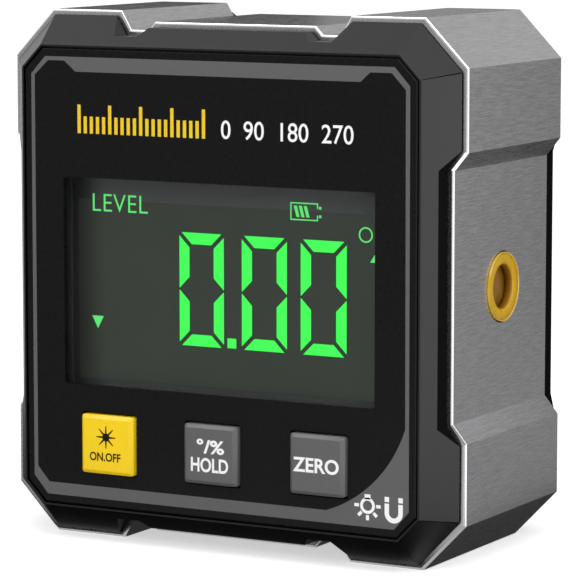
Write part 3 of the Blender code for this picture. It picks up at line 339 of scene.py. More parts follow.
def shade_left_end(made, shade):
    """Fades a material's colour to a painted shade at the display's left end, and returns the
    result.
    """
    tree = made.node_tree
    left = MIDDLE.x + GROUND_BOX[0] * MM
    axes = add_node(tree, "ShaderNodeSeparateXYZ",
                    {"Vector": tree.nodes["Texture Coordinate"].outputs["Object"]})
    along = add_node(tree, "ShaderNodeMapRange", {
        "Value": axes.outputs["X"], "From Min": left + FADE_START * MM,
        "From Max": left + FADE_END * MM})
    shaded = add_node(tree, "ShaderNodeMix", {
        MIX_FACTOR: along, MIX_A: (*shade, 1),
        MIX_B: tree.nodes["Mix"].outputs[MIX_RESULT]}, data_type="RGBA")
    tree.links.new(shaded.outputs[MIX_RESULT], tree.nodes["Principled BSDF"].inputs["Base Color"])
    return shaded.outputs[MIX_RESULT]


def polarizer():
    """Polarizing film over the lit cell: a grey green that glows with its backlight and with
    painted light over the window's shade, with a painted shade at the left.
    """
    settings = look().display
    made = surface("polarizer_film", settings.ground, 0.35, cube(6), tint=0.03, spread=0.04,
                   IOR=1.5, Specular_IOR_Level=0.2)
    ground = shade_left_end(made, settings.shade)
    tree = made.node_tree
    shader = tree.nodes["Principled BSDF"]
    dim = add_node(tree, "ShaderNodeMix", {
        MIX_FACTOR: 1.0, MIX_A: ground, MIX_B: (GROUND_DAYLIGHT,) * 3 + (1,)},
        data_type="RGBA", blend_type="MULTIPLY")
    tree.links.new(dim.outputs[MIX_RESULT], shader.inputs["Base Color"])
    tree.links.new(ground, shader.inputs["Emission Color"])
    # Emission: the backlight together with painted light that fills the window's shade.
    shader.inputs["Emission Strength"].default_value = GROUND_BACKLIGHT_AND_FILL
    return made


def bare_glass():
    """Bare edge of the display glass: smooth neutral dark grey, with a painted shade at its left
    end.
    """
    settings = look().display
    made = surface("bare_display_glass", settings.margin, 0.2, cube(4), tint=0.04, spread=0.03,
                   IOR=1.52, Specular_IOR_Level=0.2)
    shade_left_end(made, settings.margin_shade)
    return made


def lit_film(name, base, strength):
    """A lit area of the display, with the faint unevenness of its backlight."""
    made = surface(name, [c * LIT_DAYLIGHT for c in base], 0.5, cube(2.5), tint=0.05,
                   Emission_Color=(*base, 1), Specular_IOR_Level=0.1)
    made.node_tree.nodes["Principled BSDF"].inputs["Emission Strength"].default_value = strength
    return made


def key_plastic(name, base):
    """ABS key cap, moulded with a satin face: an even colour under a soft sheen."""
    return surface(name, base, 0.3, cube(0.12), 0.0008 * MM, tint=0.02, spread=0.03, IOR=1.53,
                   Specular_IOR_Level=0.32)


def outlet_plastic():
    """Amber yellow ABS of the outlet: glossy, and warm in its depth."""
    return surface("amber_abs", look().laser.ring, 0.28, cube(0.2), 0.0008 * MM, tint=0.04,
                   IOR=1.53, Specular_IOR_Level=0.2, Subsurface_Weight=0.3,
                   Subsurface_Radius=(0.0018, 0.0010, 0.0002))


def polished_amber_abs():
    """The outlet's lip, polished by the tool: the same ABS under a clear, sharp gloss."""
    return surface("polished_amber_abs", look().laser.lip, 0.18, cube(0.4), 0.0003 * MM, tint=0.03,
                   IOR=1.6, Coat_Weight=1.0, Coat_Roughness=0.12)


def amber_bore_painted_shade():
    """The outlet's bore: the same ABS with painted shade, a darker brown, and satin."""
    return surface("amber_abs_painted_shade", look().laser.bore, 0.4, cube(0.3), 0.001 * MM, tint=0.06,
                   IOR=1.53, Specular_IOR_Level=0.25)


def amber_lens():
    """Tinted acrylic lens with a matt back: a warm brown that hides the barrel."""
    return surface("tinted_acrylic", look().laser.lens, 0.2, cube(1.5), tint=0.12, spread=0.04,
                   IOR=1.49, Specular_IOR_Level=0.25)


def turned_brass():
    """Turned brass: fine rings round the barrel's axis, drawn 0.15 mm apart."""
    return surface("turned_brass", look().laser.barrel, 0.3, (0.15 * MM, 20 * MM, 20 * MM),
                   0.0010 * MM, tint=0.08, Metallic=1.0)


def nickel_plate():
    """Nickel plated steel: bright, with the slight clouding of the plating bath."""
    return surface("nickel_plate", look().inside.nickel, 0.26, cube(0.8), 0.0006 * MM, tint=0.06,
                   Metallic=1.0)


def blackened_steel():
    """Blackened screw steel: dark, with worn high spots that shine."""
    return surface("blackened_steel", look().inside.steel, 0.38, cube(0.25), 0.0015 * MM, tint=0.3,
                   spread=0.12, Metallic=1.0)


def solder_mask():
    """Green solder mask over copper: wavy gloss where the tracks lift it."""
    return surface("solder_mask", look().inside.mask, 0.3, (0.6 * MM, 4 * MM, 2.4 * MM), 0.004 * MM,
                   tint=0.25, detail=1, IOR=1.5)


def moulded_epoxy():
    """Filled epoxy of the packages: dull dark grey with a gritty face."""
    return surface("moulded_epoxy", look().inside.epoxy, 0.6, cube(0.08), 0.002 * MM, tint=0.15)


def cell_sleeve():
    """Shrink sleeve of a cell: a metallic print under clear film."""
    return surface("cell_sleeve", look().inside.jacket, 0.3, (3 * MM, 0.3 * MM, 0.3 * MM),
                   0.0010 * MM, tint=0.08, Metallic=0.4, Coat_Weight=0.5, Coat_Roughness=0.1)


def insulation(name, base):
    """Soft PVC insulation: satin, with slight drawing marks along the lead."""
    return surface(name, base, 0.42, cube(0.3), 0.002 * MM, tint=0.06, IOR=1.53)


def closed_foam():
    """Black closed cell foam: matt, with cells of about 0.2 mm."""
    return surface("closed_foam", linear_rgb("1F1F1F"), 0.9, cube(0.2), 0.02 * MM, tint=0.3)


def milky_acrylic():
    """Milky acrylic light guide: white with a soft depth."""
    return surface("milky_acrylic", linear_rgb("DDE0D6"), 0.3, cube(1.0), 0.0005 * MM, tint=0.03,
                   IOR=1.49, Subsurface_Weight=0.4, Subsurface_Radius=(0.002, 0.002, 0.002))


def white_abs():
    """White ABS holder, moulded with a plain satin face."""
    return surface("white_abs", linear_rgb("D8D8D3"), 0.45, cube(0.2), 0.0015 * MM, tint=0.03,
                   IOR=1.53)


def black_nylon():
    """Black nylon: satin, faintly cloudy."""
    return surface("black_nylon", linear_rgb("141414"), 0.48, cube(0.4), 0.0015 * MM, tint=0.12,
                   IOR=1.53)


def striped_silicone():
    """Silicone contact strip with carbon stripes, drawn 0.3 mm apart so that they show."""
    made = surface("striped_silicone", linear_rgb("6E6E74"), 0.7, cube(0.3), 0.002 * MM)
    tree = made.node_tree
    wave = add_node(tree, "ShaderNodeTexWave", {
        "Vector": tree.nodes["Texture Coordinate"].outputs["Object"],
        "Scale": 2 * math.pi / (20 * 0.3 * MM)}, bands_direction="X")
    dark = add_node(tree, "ShaderNodeMix", {
        MIX_FACTOR: wave.outputs["Fac"], MIX_A: (*linear_rgb("242428"), 1),
        MIX_B: tree.nodes["Mix"].outputs[MIX_RESULT]}, data_type="RGBA")
    tree.links.new(dark.outputs[MIX_RESULT], tree.nodes["Principled BSDF"].inputs["Base Color"])
    return made


# Finishing the solids
def give(material, *nodes):
    """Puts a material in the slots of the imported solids."""
    for name in nodes:
        mesh = frame["nodes"][name].data
        mesh.materials.clear()
        mesh.materials.append(material)


def new_piece(name, mesh, material, body):
    """Links a finished mesh as a piece of the gauge that moves with a body."""
    mesh.name = name
    mesh.materials.clear()
    mesh.materials.append(material)
    piece = bpy.data.objects.new(name, mesh)
    bpy.context.scene.collection.objects.link(piece)
    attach(piece, body)
    return piece


def shaded_outer_wall(face):
    """Whether a face is a wall along the depth on a shell's left or right side, which gets painted
    shade.
    """
    return abs(face.normal.y) < WALL_SLOPE and abs(face.center.x - MIDDLE.x) > OUTSIDE


def inside_bore(face):
    """Whether a face of the outlet ring lies on its bore's wall, which gets painted shade."""
    return math.hypot(face.center.y - OUTLET_MIDDLE.y, face.center.z - OUTLET_MIDDLE.z) < BORE_REACH


def cut_edge(face):
    """Whether a face is one of the ring's edge chamfers."""
    return CUT_LOW < abs(face.normal.y) < CUT_HIGH


def rounded(material, *nodes, edge=0.0, other=None, where=None, smooth=True):
    """Copies faceted solids as merged pieces, with round forms smooth and sharp edges rounded.

    other is the material of the faces that where picks out.
    """
    pieces = []
    for name in nodes:
        builder = bmesh.new()
        builder.from_mesh(frame["nodes"][name].data)
        bmesh.ops.remove_doubles(builder, verts=builder.verts, dist=MERGE)
        bmesh.ops.dissolve_limit(builder, angle_limit=DISSOLVE, verts=builder.verts,
                                 edges=builder.edges)
        if edge:
            sharp = [e for e in builder.edges if e.is_manifold and e.calc_face_angle() > SHARP]
            bmesh.ops.bevel(builder, geom=sharp, offset=edge, segments=3, profile=0.5,
                            affect="EDGES", clamp_overlap=True)
        bmesh.ops.triangulate(builder, faces=[f for f in builder.faces if len(f.verts) > 4])
        mesh = bpy.data.meshes.new(name)
        builder.to_mesh(mesh)
        builder.free()
        if smooth:
            mesh.shade_smooth()
            mesh.set_sharp_from_angle(angle=SHARP)
        piece = new_piece(name + "_finished", mesh, material, frame["nodes"][name]["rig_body"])
        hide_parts(name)
        if other:
            mesh.materials.append(other)
            for face in mesh.polygons:
                face.material_index = int(where(face))
        pieces.append(piece)
    return pieces


def ease_cut_edges(mesh):
    """Shades the ring's edge chamfers, but for those below, as rounded towards its front and back.

    The flats stay flat, so a chamfer catches a thin light line along its outer side.
    """
    normals = []
    for face in mesh.polygons:
        face.use_smooth = True
        along = Vector((0, math.copysign(1, face.normal.y), 0))
        rim = (RING_HIGH if along.y > 0 else RING_LOW).y
        for vertex in face.vertices:
            if not cut_edge(face) or face.normal.z < LOOKS_DOWN:
                normals.append(face.normal.copy())
            else:
                on_rim = abs(mesh.vertices[vertex].co.y - rim) < 2 * MERGE
                normals.append(along if on_rim else face.normal.copy())
    mesh.normals_split_custom_set(normals)


# Flat marks that stand on a face
def as_mesh(maker):
    """Turns a temporary curve, text or modified object into a plain mesh and removes the object."""
    bpy.context.scene.collection.objects.link(maker)
    bpy.context.view_layer.update()
    evaluated = maker.evaluated_get(bpy.context.evaluated_depsgraph_get())
    mesh = bpy.data.meshes.new_from_object(evaluated)
    source = maker.data
    bpy.data.objects.remove(maker, do_unlink=True)
    if isinstance(source, bpy.types.Curve):
        bpy.data.curves.remove(source)
    return mesh


def stand_up(mesh, front, proud=INK):
    """Turns a flat shape drawn in X and Y up, with its back just inside the face it is on."""
    mesh.transform(Matrix.Rotation(math.pi / 2, 4, "X"))
    depths = [v.co.y for v in mesh.vertices]
    thickness = max(depths) - min(depths)
    scale = Matrix.Diagonal((1, (proud + INK_SUNK) / thickness, 1, 1))
    mesh.transform(scale)
    back = max(v.co.y for v in mesh.vertices)
    mesh.transform(Matrix.Translation((0, front + INK_SUNK - back, 0)))
    return mesh


def flat_shape(name, loops):
    """A filled flat shape from closed loops of points in millimetres from the middle."""
    curve = bpy.data.curves.new(name, "CURVE")
    curve.dimensions = "2D"
    curve.fill_mode = "BOTH"
    curve.extrude = INK / 2
    for loop in loops:
        line = curve.splines.new("POLY")
        line.points.add(len(loop) - 1)
        for knot, (x, z) in zip(line.points, loop):
            knot.co = (MIDDLE.x + x * MM, MIDDLE.z + z * MM, 0, 1)
        line.use_cyclic_u = True
    return as_mesh(bpy.data.objects.new(name, curve))


def mark(name, loops, material, front, body="gauge_body", proud=INK):
    """A printed or lit mark made of one or more closed loops."""
    mesh = stand_up(flat_shape(name, loops), front, proud)
    return new_piece(name, mesh, material, body)


def wording(name, words, box_mm, material, front, body, weight=0.0, spacing=1.0):
    """Plain lettering or numbers that fill a box (left, right, low, high) in millimetres."""
    text = bpy.data.curves.new(name, "FONT")
    text.body = words
    text.extrude = INK / 2
    text.size = TEXT_SIZE
    text.offset = weight * MM
    text.space_character = spacing
    text.resolution_u = 6
    mesh = stand_up(as_mesh(bpy.data.objects.new(name, text)), front)
    left, right, low, high = box_mm
    xs = [v.co.x for v in mesh.vertices]
    zs = [v.co.z for v in mesh.vertices]
    stretch_x = (right - left) * MM / (max(xs) - min(xs))
    stretch_z = (high - low) * MM / (max(zs) - min(zs))
    mesh.transform(Matrix.Translation((-min(xs), 0, -min(zs))))
    mesh.transform(Matrix.Diagonal((stretch_x, 1, stretch_z, 1)))
    mesh.transform(Matrix.Translation((MIDDLE.x + left * MM, 0, MIDDLE.z + low * MM)))
    return new_piece(name, mesh, material, body)


def on_face(centre, front, proud=INK):
    """The middle of a print over a point in millimetres from the middle, and its thickness."""
    depth = proud + INK_SUNK
    middle = front + INK_SUNK - depth / 2
    return (MIDDLE.x + centre[0] * MM, middle, MIDDLE.z + centre[1] * MM), depth


def arc(centre, radius, start, end, steps):
    """Points on an arc, in degrees anticlockwise from the right."""
    turns = [math.radians(start + (end - start) * i / steps) for i in range(steps + 1)]
    return [(centre[0] + radius * math.cos(t), centre[1] + radius * math.sin(t)) for t in turns]


def disc(centre, radius, steps=32):
    return arc(centre, radius, 0, 360, steps)[:-1]


def box_loop(left, right, low, high):
    return [(left, low), (right, low), (right, high), (left, high)]


# Geometry Nodes for what repeats
def new_tree(name, **inputs):
    """A Geometry Nodes tree with named number inputs and a material, and its input node."""
    tree = bpy.data.node_groups.new(name, "GeometryNodeTree")
    tree.interface.new_socket("Geometry", in_out="INPUT", socket_type="NodeSocketGeometry")
    for label, kind in inputs.items():
        tree.interface.new_socket(label.replace("_", " "), in_out="INPUT",
                                  socket_type="NodeSocket" + kind)
    tree.interface.new_socket("Material", in_out="INPUT", socket_type="NodeSocketMaterial")
    tree.interface.new_socket("Geometry", in_out="OUTPUT", socket_type="NodeSocketGeometry")
    return tree, add_node(tree, "NodeGroupInput").outputs


def end_tree(tree, source, instances):
    """Realizes the instances, sets their material and closes the tree."""
    real = add_node(tree, "GeometryNodeRealizeInstances", {"Geometry": instances})
    dressed = add_node(tree, "GeometryNodeSetMaterial", {
        "Geometry": real, "Material": source["Material"]})
    add_node(tree, "NodeGroupOutput", {"Geometry": dressed})
    return tree


def grown(name, tree, points, values, material, attributes=None):
    """Runs a tree on a set of points and returns a plain mesh."""
    mesh = bpy.data.meshes.new(name + "_points")
    mesh.from_pydata([tuple(point) for point in points], [], [])
    for label, (kind, numbers) in (attributes or {}).items():
        layer = mesh.attributes.new(label, kind, "POINT")
        layer.data.foreach_set("value", numbers)
    maker = bpy.data.objects.new(name + "_maker", mesh)
    step = maker.modifiers.new("grow", "NODES")
    step.node_group = tree
    sockets = {item.name: item.identifier for item in tree.interface.items_tree
               if item.in_out == "INPUT"}
    for label, value in values.items():
        step[sockets[label]] = value
    step[sockets["Material"]] = material
    return as_mesh(maker)


def block(tree, x, y, z):
    """A block whose sides are numbers or other nodes' outputs."""
    size = add_node(tree, "ShaderNodeCombineXYZ", {"X": x, "Y": y, "Z": z})
    return add_node(tree, "GeometryNodeMeshCube", {"Size": size}).outputs["Mesh"]


def vertex_axes(tree):
    """X, Y and Z of a mesh's vertices."""
    here = add_node(tree, "GeometryNodeInputPosition").outputs["Position"]
    return add_node(tree, "ShaderNodeSeparateXYZ", {"Vector": here}).outputs


def turned(tree, amount):
    """A rotation about Y."""
    euler = add_node(tree, "ShaderNodeCombineXYZ", {"Y": amount})
    return add_node(tree, "FunctionNodeEulerToRotation",
                    {"Euler": euler}).outputs["Rotation"]


def bar_tree():
    """Bars with slanted ends on points: kind 0 lies, kind 1 stands, turn faces it outwards."""
    tree, source = new_tree("numeral_bars", Level_Length="Float", Upright_Length="Float",
                            Thickness="Float", Depth="Float")
    bars = []
    for label in ("Upright Length", "Level Length"):
        where = vertex_axes(tree)
        inner = add_node(tree, "FunctionNodeCompare", {0: where["Z"], 1: 0.0},
                         operation="LESS_THAN")
        side = add_node(tree, "ShaderNodeMath", {0: where["X"]}, operation="SIGN")
        back = add_node(tree, "ShaderNodeMath", {0: side, 1: source["Thickness"]},
                        operation="MULTIPLY")
        slant = add_node(tree, "ShaderNodeMath", {0: back, 1: -1.0}, operation="MULTIPLY")
        offset = add_node(tree, "ShaderNodeCombineXYZ", {"X": slant})
        shaped = add_node(tree, "GeometryNodeSetPosition", {
            "Geometry": block(tree, source[label], source["Depth"], source["Thickness"]),
            "Selection": inner, "Offset": offset})
        bars.append(add_node(tree, "GeometryNodeGeometryToInstance",
                             {"Geometry": shaped}).outputs["Instances"])
    both = add_node(tree, "GeometryNodeJoinGeometry")
    for instances in bars:
        tree.links.new(instances, both.inputs["Geometry"])
    turn = add_node(tree, "GeometryNodeInputNamedAttribute", {"Name": "turn"}, data_type="FLOAT")
    kind = add_node(tree, "GeometryNodeInputNamedAttribute", {"Name": "kind"}, data_type="INT")
    placed = add_node(tree, "GeometryNodeInstanceOnPoints", {
        "Points": source["Geometry"], "Instance": both, "Pick Instance": True,
        "Instance Index": kind,
        "Rotation": turned(tree, turn)})
    return end_tree(tree, source, placed)


def tick_tree():
    """Upright marks on points, each scaled to the height in the point's own attribute."""
    tree, source = new_tree("scale_marks", Width="Float", Depth="Float")
    raised = add_node(tree, "GeometryNodeTransform", {
        "Geometry": block(tree, source["Width"], source["Depth"], 1.0), "Translation": (0, 0, 0.5)})
    height = add_node(tree, "GeometryNodeInputNamedAttribute", {"Name": "height"},
                      data_type="FLOAT")
    stretch = add_node(tree, "ShaderNodeCombineXYZ", {
        "X": 1.0, "Y": 1.0, "Z": height})
    placed = add_node(tree, "GeometryNodeInstanceOnPoints", {
        "Points": source["Geometry"], "Instance": raised,
        "Scale": stretch})
    return end_tree(tree, source, placed)


def ray_tree():
    """Rays round each point: count rays between two angles, from an inner radius outwards."""
    tree, source = new_tree("rays", Count="Int", First_Angle="Float", Last_Angle="Float",
                            Inner_Radius="Float", Length="Float", Root_Width="Float",
                            Tip_Width="Float", Depth="Float")
    where = vertex_axes(tree)
    outer = add_node(tree, "FunctionNodeCompare", {0: where["X"], 1: 0.0}, operation="GREATER_THAN")
    taper = add_node(tree, "ShaderNodeMath", {0: source["Tip Width"], 1: source["Root Width"]},
                     operation="DIVIDE")
    narrow = add_node(tree, "ShaderNodeMath", {0: where["Z"], 1: taper},
                      operation="MULTIPLY")
    place = add_node(tree, "ShaderNodeCombineXYZ", {
        "X": where["X"], "Y": where["Y"], "Z": narrow})
    shaped = add_node(tree, "GeometryNodeSetPosition", {
        "Geometry": block(tree, source["Length"], source["Depth"], source["Root Width"]),
        "Selection": outer, "Position": place})
    half = add_node(tree, "ShaderNodeMath", {0: source["Length"], 1: 0.5}, operation="MULTIPLY")
    reach = add_node(tree, "ShaderNodeMath", {0: half, 1: source["Inner Radius"]},
                     operation="ADD")
    shift = add_node(tree, "ShaderNodeCombineXYZ", {"X": reach})
    ray = add_node(tree, "GeometryNodeTransform", {
        "Geometry": shaped, "Translation": shift})
    line = add_node(tree, "GeometryNodeMeshLine", {
        "Count": source["Count"], "Offset": (0, 0, 0)}, mode="OFFSET")
    index = add_node(tree, "GeometryNodeInputIndex")
    steps = add_node(tree, "ShaderNodeMath", {0: source["Count"], 1: 1.0}, operation="SUBTRACT")
    turn = add_node(tree, "ShaderNodeMapRange", {
        "Value": index, "From Min": 0.0, "From Max": steps,
        "To Min": source["First Angle"], "To Max": source["Last Angle"]})
    fan = add_node(tree, "GeometryNodeInstanceOnPoints", {
        "Points": line, "Instance": ray,
        "Rotation": turned(tree, turn)})
    placed = add_node(tree, "GeometryNodeInstanceOnPoints", {
        "Points": source["Geometry"], "Instance": fan})
    return end_tree(tree, source, placed)


def part_tree():
    """Small blocks on points, turned by the point's attribute, with a share left out at random."""
    tree, source = new_tree("board_parts", Length="Float", Height="Float", Width="Float",
                            Kept="Float", Seed="Int")
    turn = add_node(tree, "GeometryNodeInputNamedAttribute", {"Name": "turn"}, data_type="FLOAT")
    kept = add_node(tree, "FunctionNodeRandomValue", {
        "Probability": source["Kept"], "Seed": source["Seed"]}, data_type="BOOLEAN")
    chosen = [socket for socket in kept.outputs if socket.type == "BOOLEAN"][0]
    placed = add_node(tree, "GeometryNodeInstanceOnPoints", {
        "Points": source["Geometry"], "Selection": chosen,
        "Instance": block(tree, source["Length"], source["Height"], source["Width"]),
        "Rotation": turned(tree, turn)})
    return end_tree(tree, source, placed)


# Panel print, in millimetres from the middle of the ring's front
TRIM_OUTER = [(22.0, 24.9), (23.85, 22.9), (23.9, -22.85), (22.1, -24.9),
              (-22.1, -24.9), (-23.9, -22.85), (-23.85, 22.9), (-22.0, 24.9)]
TRIM_INNER_TOP = [(-21.9, -23.5), (-23.4, -21.8), (-23.4, 22.8), (-21.6, 24.45), (-19.45, 24.45),
                  (-18.0, 23.25), (17.9, 23.2), (19.1, 24.25), (21.65, 24.25), (23.35, 22.5)]
SWEEP_CENTRE = (8.95, -9.03)     # of the trim's curve round the lower right corner
SWEEP_RADIUS = 15.27
SWEEP_START, SWEEP_END = -18.5, -71.4
SCALE_START = (-17.75, 16.4)
LONG_EVERY = 5                   # every fifth mark of the scale is long
NUMBERS_BOX = (0.75, 17.1, 16.45, 18.5)
LAMP_CENTRE = (18.92, -22.55)
LAMP_OUTER, LAMP_INNER = 0.9, 0.56
LAMP_RAYS = 5
LAMP_RAY_START, LAMP_RAY_LENGTH, LAMP_RAY_WIDTH = 1.04, 0.56, 0.36
LAMP_CAP = (18.56, 19.28, -21.85, -21.3)
MAGNET_CENTRE = (22.09, -23.1)
MAGNET_OUTER, MAGNET_INNER = 1.1, 0.56
MAGNET_ARM_TOP, MAGNET_TIP_LOW, MAGNET_TIP_TOP = -22.1, -21.93, -21.37

# Display marks, in millimetres from the same middle
GROUND_BOX = (-19.62, 21.4, -11.7, 8.72)
# The fade is painted shade along the display's left end.
FADE_START, FADE_END = 0.0, 3.6  # where the ground's shade turns into its own colour, from the left
# The glow is partly the real backlight and partly painted light that fills the shade of the
# window's walls.
GROUND_BACKLIGHT_AND_FILL = 0.85               # share of the ground's colour that the backlight gives
GROUND_DAYLIGHT = 0.2            # share that the daylight gives
LIT_DAYLIGHT = 0.05              # how much of its own colour a lit mark gives back in daylight
NUMERAL_CENTRES = (-3.49, 4.49, 11.9)
NUMERAL_MIDDLE = -0.75
POINT_BOX = (-0.2, 0.93, -7.05, -5.95)
STATE_BOX = (-17.68, -10.44, 7.4, 9.38)
RING_MARK = (17.06, 6.48)
DEGREE_OUTER, DEGREE_INNER = 0.86, 0.69
CELL_BOX = (7.76, 11.2, 7.66, 9.62)
CELL_STROKE = 0.14
CELL_LIP = 0.62                  # height of the sign's right side above and below its opening
CELL_TIP_START, CELL_TIP_END, CELL_TIP_HEIGHT = 0.12, 0.4, 0.3   # of the tips right of the sign
CELL_PAD = 0.36                  # from the sign's lower and upper side to its bars and tips
CELL_BARS, CELL_BAR_START, CELL_BAR_PITCH = 3, 0.42, 0.62
CELL_BAR_WIDTH, CELL_BAR_SLANT = 0.38, 0.35
UP_ARROW = [(17.6, 3.5), (19.2, 3.5), (18.4, 4.75)]
DOWN_ARROW = [(-17.86, -4.5), (-16.33, -4.5), (-17.1, -5.92)]
OUTLINE_WIDTH = 0.11

# Outlet lip, in millimetres
OUTLET_PROUD = 0.2       # how far the outlet's face stands out of the recess
LIP_LAP = 0.08           # how far the lip reaches over the hole's edge
LIP_HEIGHT = 0.08
LIP_SLOPE = 0.12         # width of its inner slope
LIP_ROOT = 0.1           # how far its foot reaches in under the outlet's face
LIP_DRAFT = 0.02         # lean of its outer side
LIP_CREST = 0.05         # width of its flat top
LIP_FOOT = 0.004         # height of the inner slope's foot over the face
LIP_SUNK = 0.05          # how far its inner side goes below the face

# Key legends, in millimetres from the same middle
BURST_CENTRE = (-13.81, -17.66)
BURST_CORE, BURST_REACH = 0.46, 1.26
BURST_RAYS = 8
BURST_ROOT = 0.6                 # where a ray starts, as a share of the core's radius
BURST_ROOT_WIDTH, BURST_TIP_WIDTH = 0.24, 0.1
POWER_WEIGHT, KEY_WEIGHT = 0.08, 0.1     # how far the letters are thickened
POWER_BOX = (-15.95, -11.9, -20.4, -19.42)
HOLD_UPPER_BOX = (-2.0, 1.5, -18.4, -16.78)
HOLD_BOX = (-2.74, 2.01, -20.5, -18.88)
ZERO_BOX = (10.15, 15.8, -19.4, -17.75)


def print_trim(material):
    """The grey line round the panel, wide along the top and swept out at the lower right."""
    sweep = arc(SWEEP_CENTRE, SWEEP_RADIUS, SWEEP_START, SWEEP_END, 24)
    mark("panel_trim", [TRIM_OUTER, TRIM_INNER_TOP + sweep], material, PANEL_FRONT)


def print_header(settings, yellow, white):
    """A graduated scale and plain angle numbers above the display."""
    count = settings.scale_marks
    pitch = (settings.scale_length - settings.mark_width) / (count - 1)
    (left, level, base), depth = on_face(SCALE_START, PANEL_FRONT)
    left += settings.mark_width / 2
    points = [(left + i * pitch, level, base) for i in range(count)]
    heights = [settings.short_mark if i % LONG_EVERY else settings.long_mark for i in range(count)]
    mesh = grown("panel_scale", tick_tree(), points, {"Width": settings.mark_width, "Depth": depth},
                 yellow, {"height": ("FLOAT", heights)})
    new_piece("panel_scale", mesh, yellow, "gauge_body")
    wording("panel_numbers", "0  90  180  270", NUMBERS_BOX, white, PANEL_FRONT, "gauge_body",
            weight=0.02)


def print_signs(white):
    """A lamp and a horseshoe magnet, as line signs."""
    bulb = [disc(LAMP_CENTRE, LAMP_OUTER), disc(LAMP_CENTRE, LAMP_INNER)]
    mark("lamp_sign", bulb, white, PANEL_FRONT, proud=SECOND_INK)
    mark("lamp_cap_sign", [box_loop(*LAMP_CAP)], white, PANEL_FRONT, proud=SECOND_INK)
    point, depth = on_face(LAMP_CENTRE, PANEL_FRONT, SECOND_INK)
    rays = grown("lamp_rays_sign", ray_tree(), [point], {
        "Count": LAMP_RAYS, "First Angle": 0.0, "Last Angle": math.pi,
        "Inner Radius": LAMP_RAY_START * MM,
        "Length": LAMP_RAY_LENGTH * MM, "Root Width": LAMP_RAY_WIDTH * MM,
        "Tip Width": LAMP_RAY_WIDTH * MM, "Depth": depth}, white)
    new_piece("lamp_rays_sign", rays, white, "gauge_body")
    x, z = MAGNET_CENTRE
    outer = arc(MAGNET_CENTRE, MAGNET_OUTER, 180, 360, 16)
    inner = arc(MAGNET_CENTRE, MAGNET_INNER, 360, 180, 16)
    body = ([(x - MAGNET_OUTER, MAGNET_ARM_TOP)] + outer
            + [(x + MAGNET_OUTER, MAGNET_ARM_TOP), (x + MAGNET_INNER, MAGNET_ARM_TOP)]
            + inner + [(x - MAGNET_INNER, MAGNET_ARM_TOP)])
    mark("magnet_sign", [body], white, PANEL_FRONT, proud=SECOND_INK)
    tips = [box_loop(x + low, x + high, MAGNET_TIP_LOW, MAGNET_TIP_TOP)
            for low, high in ((-MAGNET_OUTER, -MAGNET_INNER), (MAGNET_INNER, MAGNET_OUTER))]
    mark("magnet_tips_sign", tips, white, PANEL_FRONT, proud=SECOND_INK)


def numeral_points(centre_x, settings, proud):
    """Places, turns and kinds of the six bars of a numeral 0."""
    half_w, half_h = settings.numeral_width / 2, settings.numeral_height / 2
    edge = settings.bar / 2
    (x, front, z), _ = on_face((centre_x, NUMERAL_MIDDLE), FILM_FRONT, proud)
    upright = (half_h - settings.bar_gap) / 2
    rows = [(x, front, z + half_h - edge, 0.0, 0), (x, front, z - half_h + edge, math.pi, 0)]
    for side in (-1, 1):
        for level in (-1, 1):
            rows.append((x + side * (half_w - edge), front, z + level * upright,
                         side * math.pi / 2, 1))
    return rows


def light_numerals(settings, lit, outline):
    """The three lit numerals, each bar with a dark green band round it."""
    for name, material, grow, proud in (("numeral_bands", outline, OUTLINE_WIDTH * MM, INK / 2),
                                        ("numerals", lit, 0.0, INK)):
        rows = [row for x in NUMERAL_CENTRES for row in numeral_points(x, settings, proud)]
        level = settings.numeral_width - 2 * settings.bar_gap
        upright = settings.numeral_height / 2 - 1.5 * settings.bar_gap
        slant = 2 * grow * (1 + math.sqrt(2))
        mesh = grown(name, bar_tree(), [row[:3] for row in rows], {
            "Level Length": level + slant, "Upright Length": upright + slant,
            "Thickness": settings.bar + 2 * grow, "Depth": proud + INK_SUNK}, material,
            {"turn": ("FLOAT", [row[3] for row in rows]),
             "kind": ("INT", [row[4] for row in rows])})
        new_piece(name, mesh, material, "gauge_body")
    mark("decimal_point", [box_loop(*POINT_BOX)], lit, FILM_FRONT)


def light_signs(small):
    """State word, cell sign, degree ring and the two arrow marks."""
    wording("state_word", "LEVEL", STATE_BOX, small, FILM_FRONT, "gauge_body",
            weight=-0.03, spacing=1.05)
    left, right, low, high = CELL_BOX
    inner_left, inner_right = left + CELL_STROKE, right - CELL_STROKE
    inner_low, inner_high = low + CELL_STROKE, high - CELL_STROKE
    cell = [(left, low), (right, low), (right, low + CELL_LIP), (inner_right, low + CELL_LIP),
            (inner_right, inner_low), (inner_left, inner_low), (inner_left, inner_high),
            (inner_right, inner_high), (inner_right, high - CELL_LIP), (right, high - CELL_LIP),
            (right, high), (left, high)]
    foot, top = low + CELL_PAD, high - CELL_PAD
    tips = [box_loop(right + CELL_TIP_START, right + CELL_TIP_END, level, level + CELL_TIP_HEIGHT)
            for level in (foot, top - CELL_TIP_HEIGHT)]
    bars = []
    for i in range(CELL_BARS):
        x = left + CELL_BAR_START + CELL_BAR_SLANT + i * CELL_BAR_PITCH
        bars.append([(x, foot), (x + CELL_BAR_WIDTH, foot),
                     (x + CELL_BAR_WIDTH - CELL_BAR_SLANT, top), (x - CELL_BAR_SLANT, top)])
    degree = [disc(RING_MARK, DEGREE_OUTER), disc(RING_MARK, DEGREE_INNER)]
    for name, loops in (("cell_sign", [cell]), ("cell_tips_sign", tips), ("cell_level_sign", bars),
                        ("degree_sign", degree), ("up_arrow_sign", [UP_ARROW]),
                        ("down_arrow_sign", [DOWN_ARROW])):
        mark(name, loops, small, FILM_FRONT)


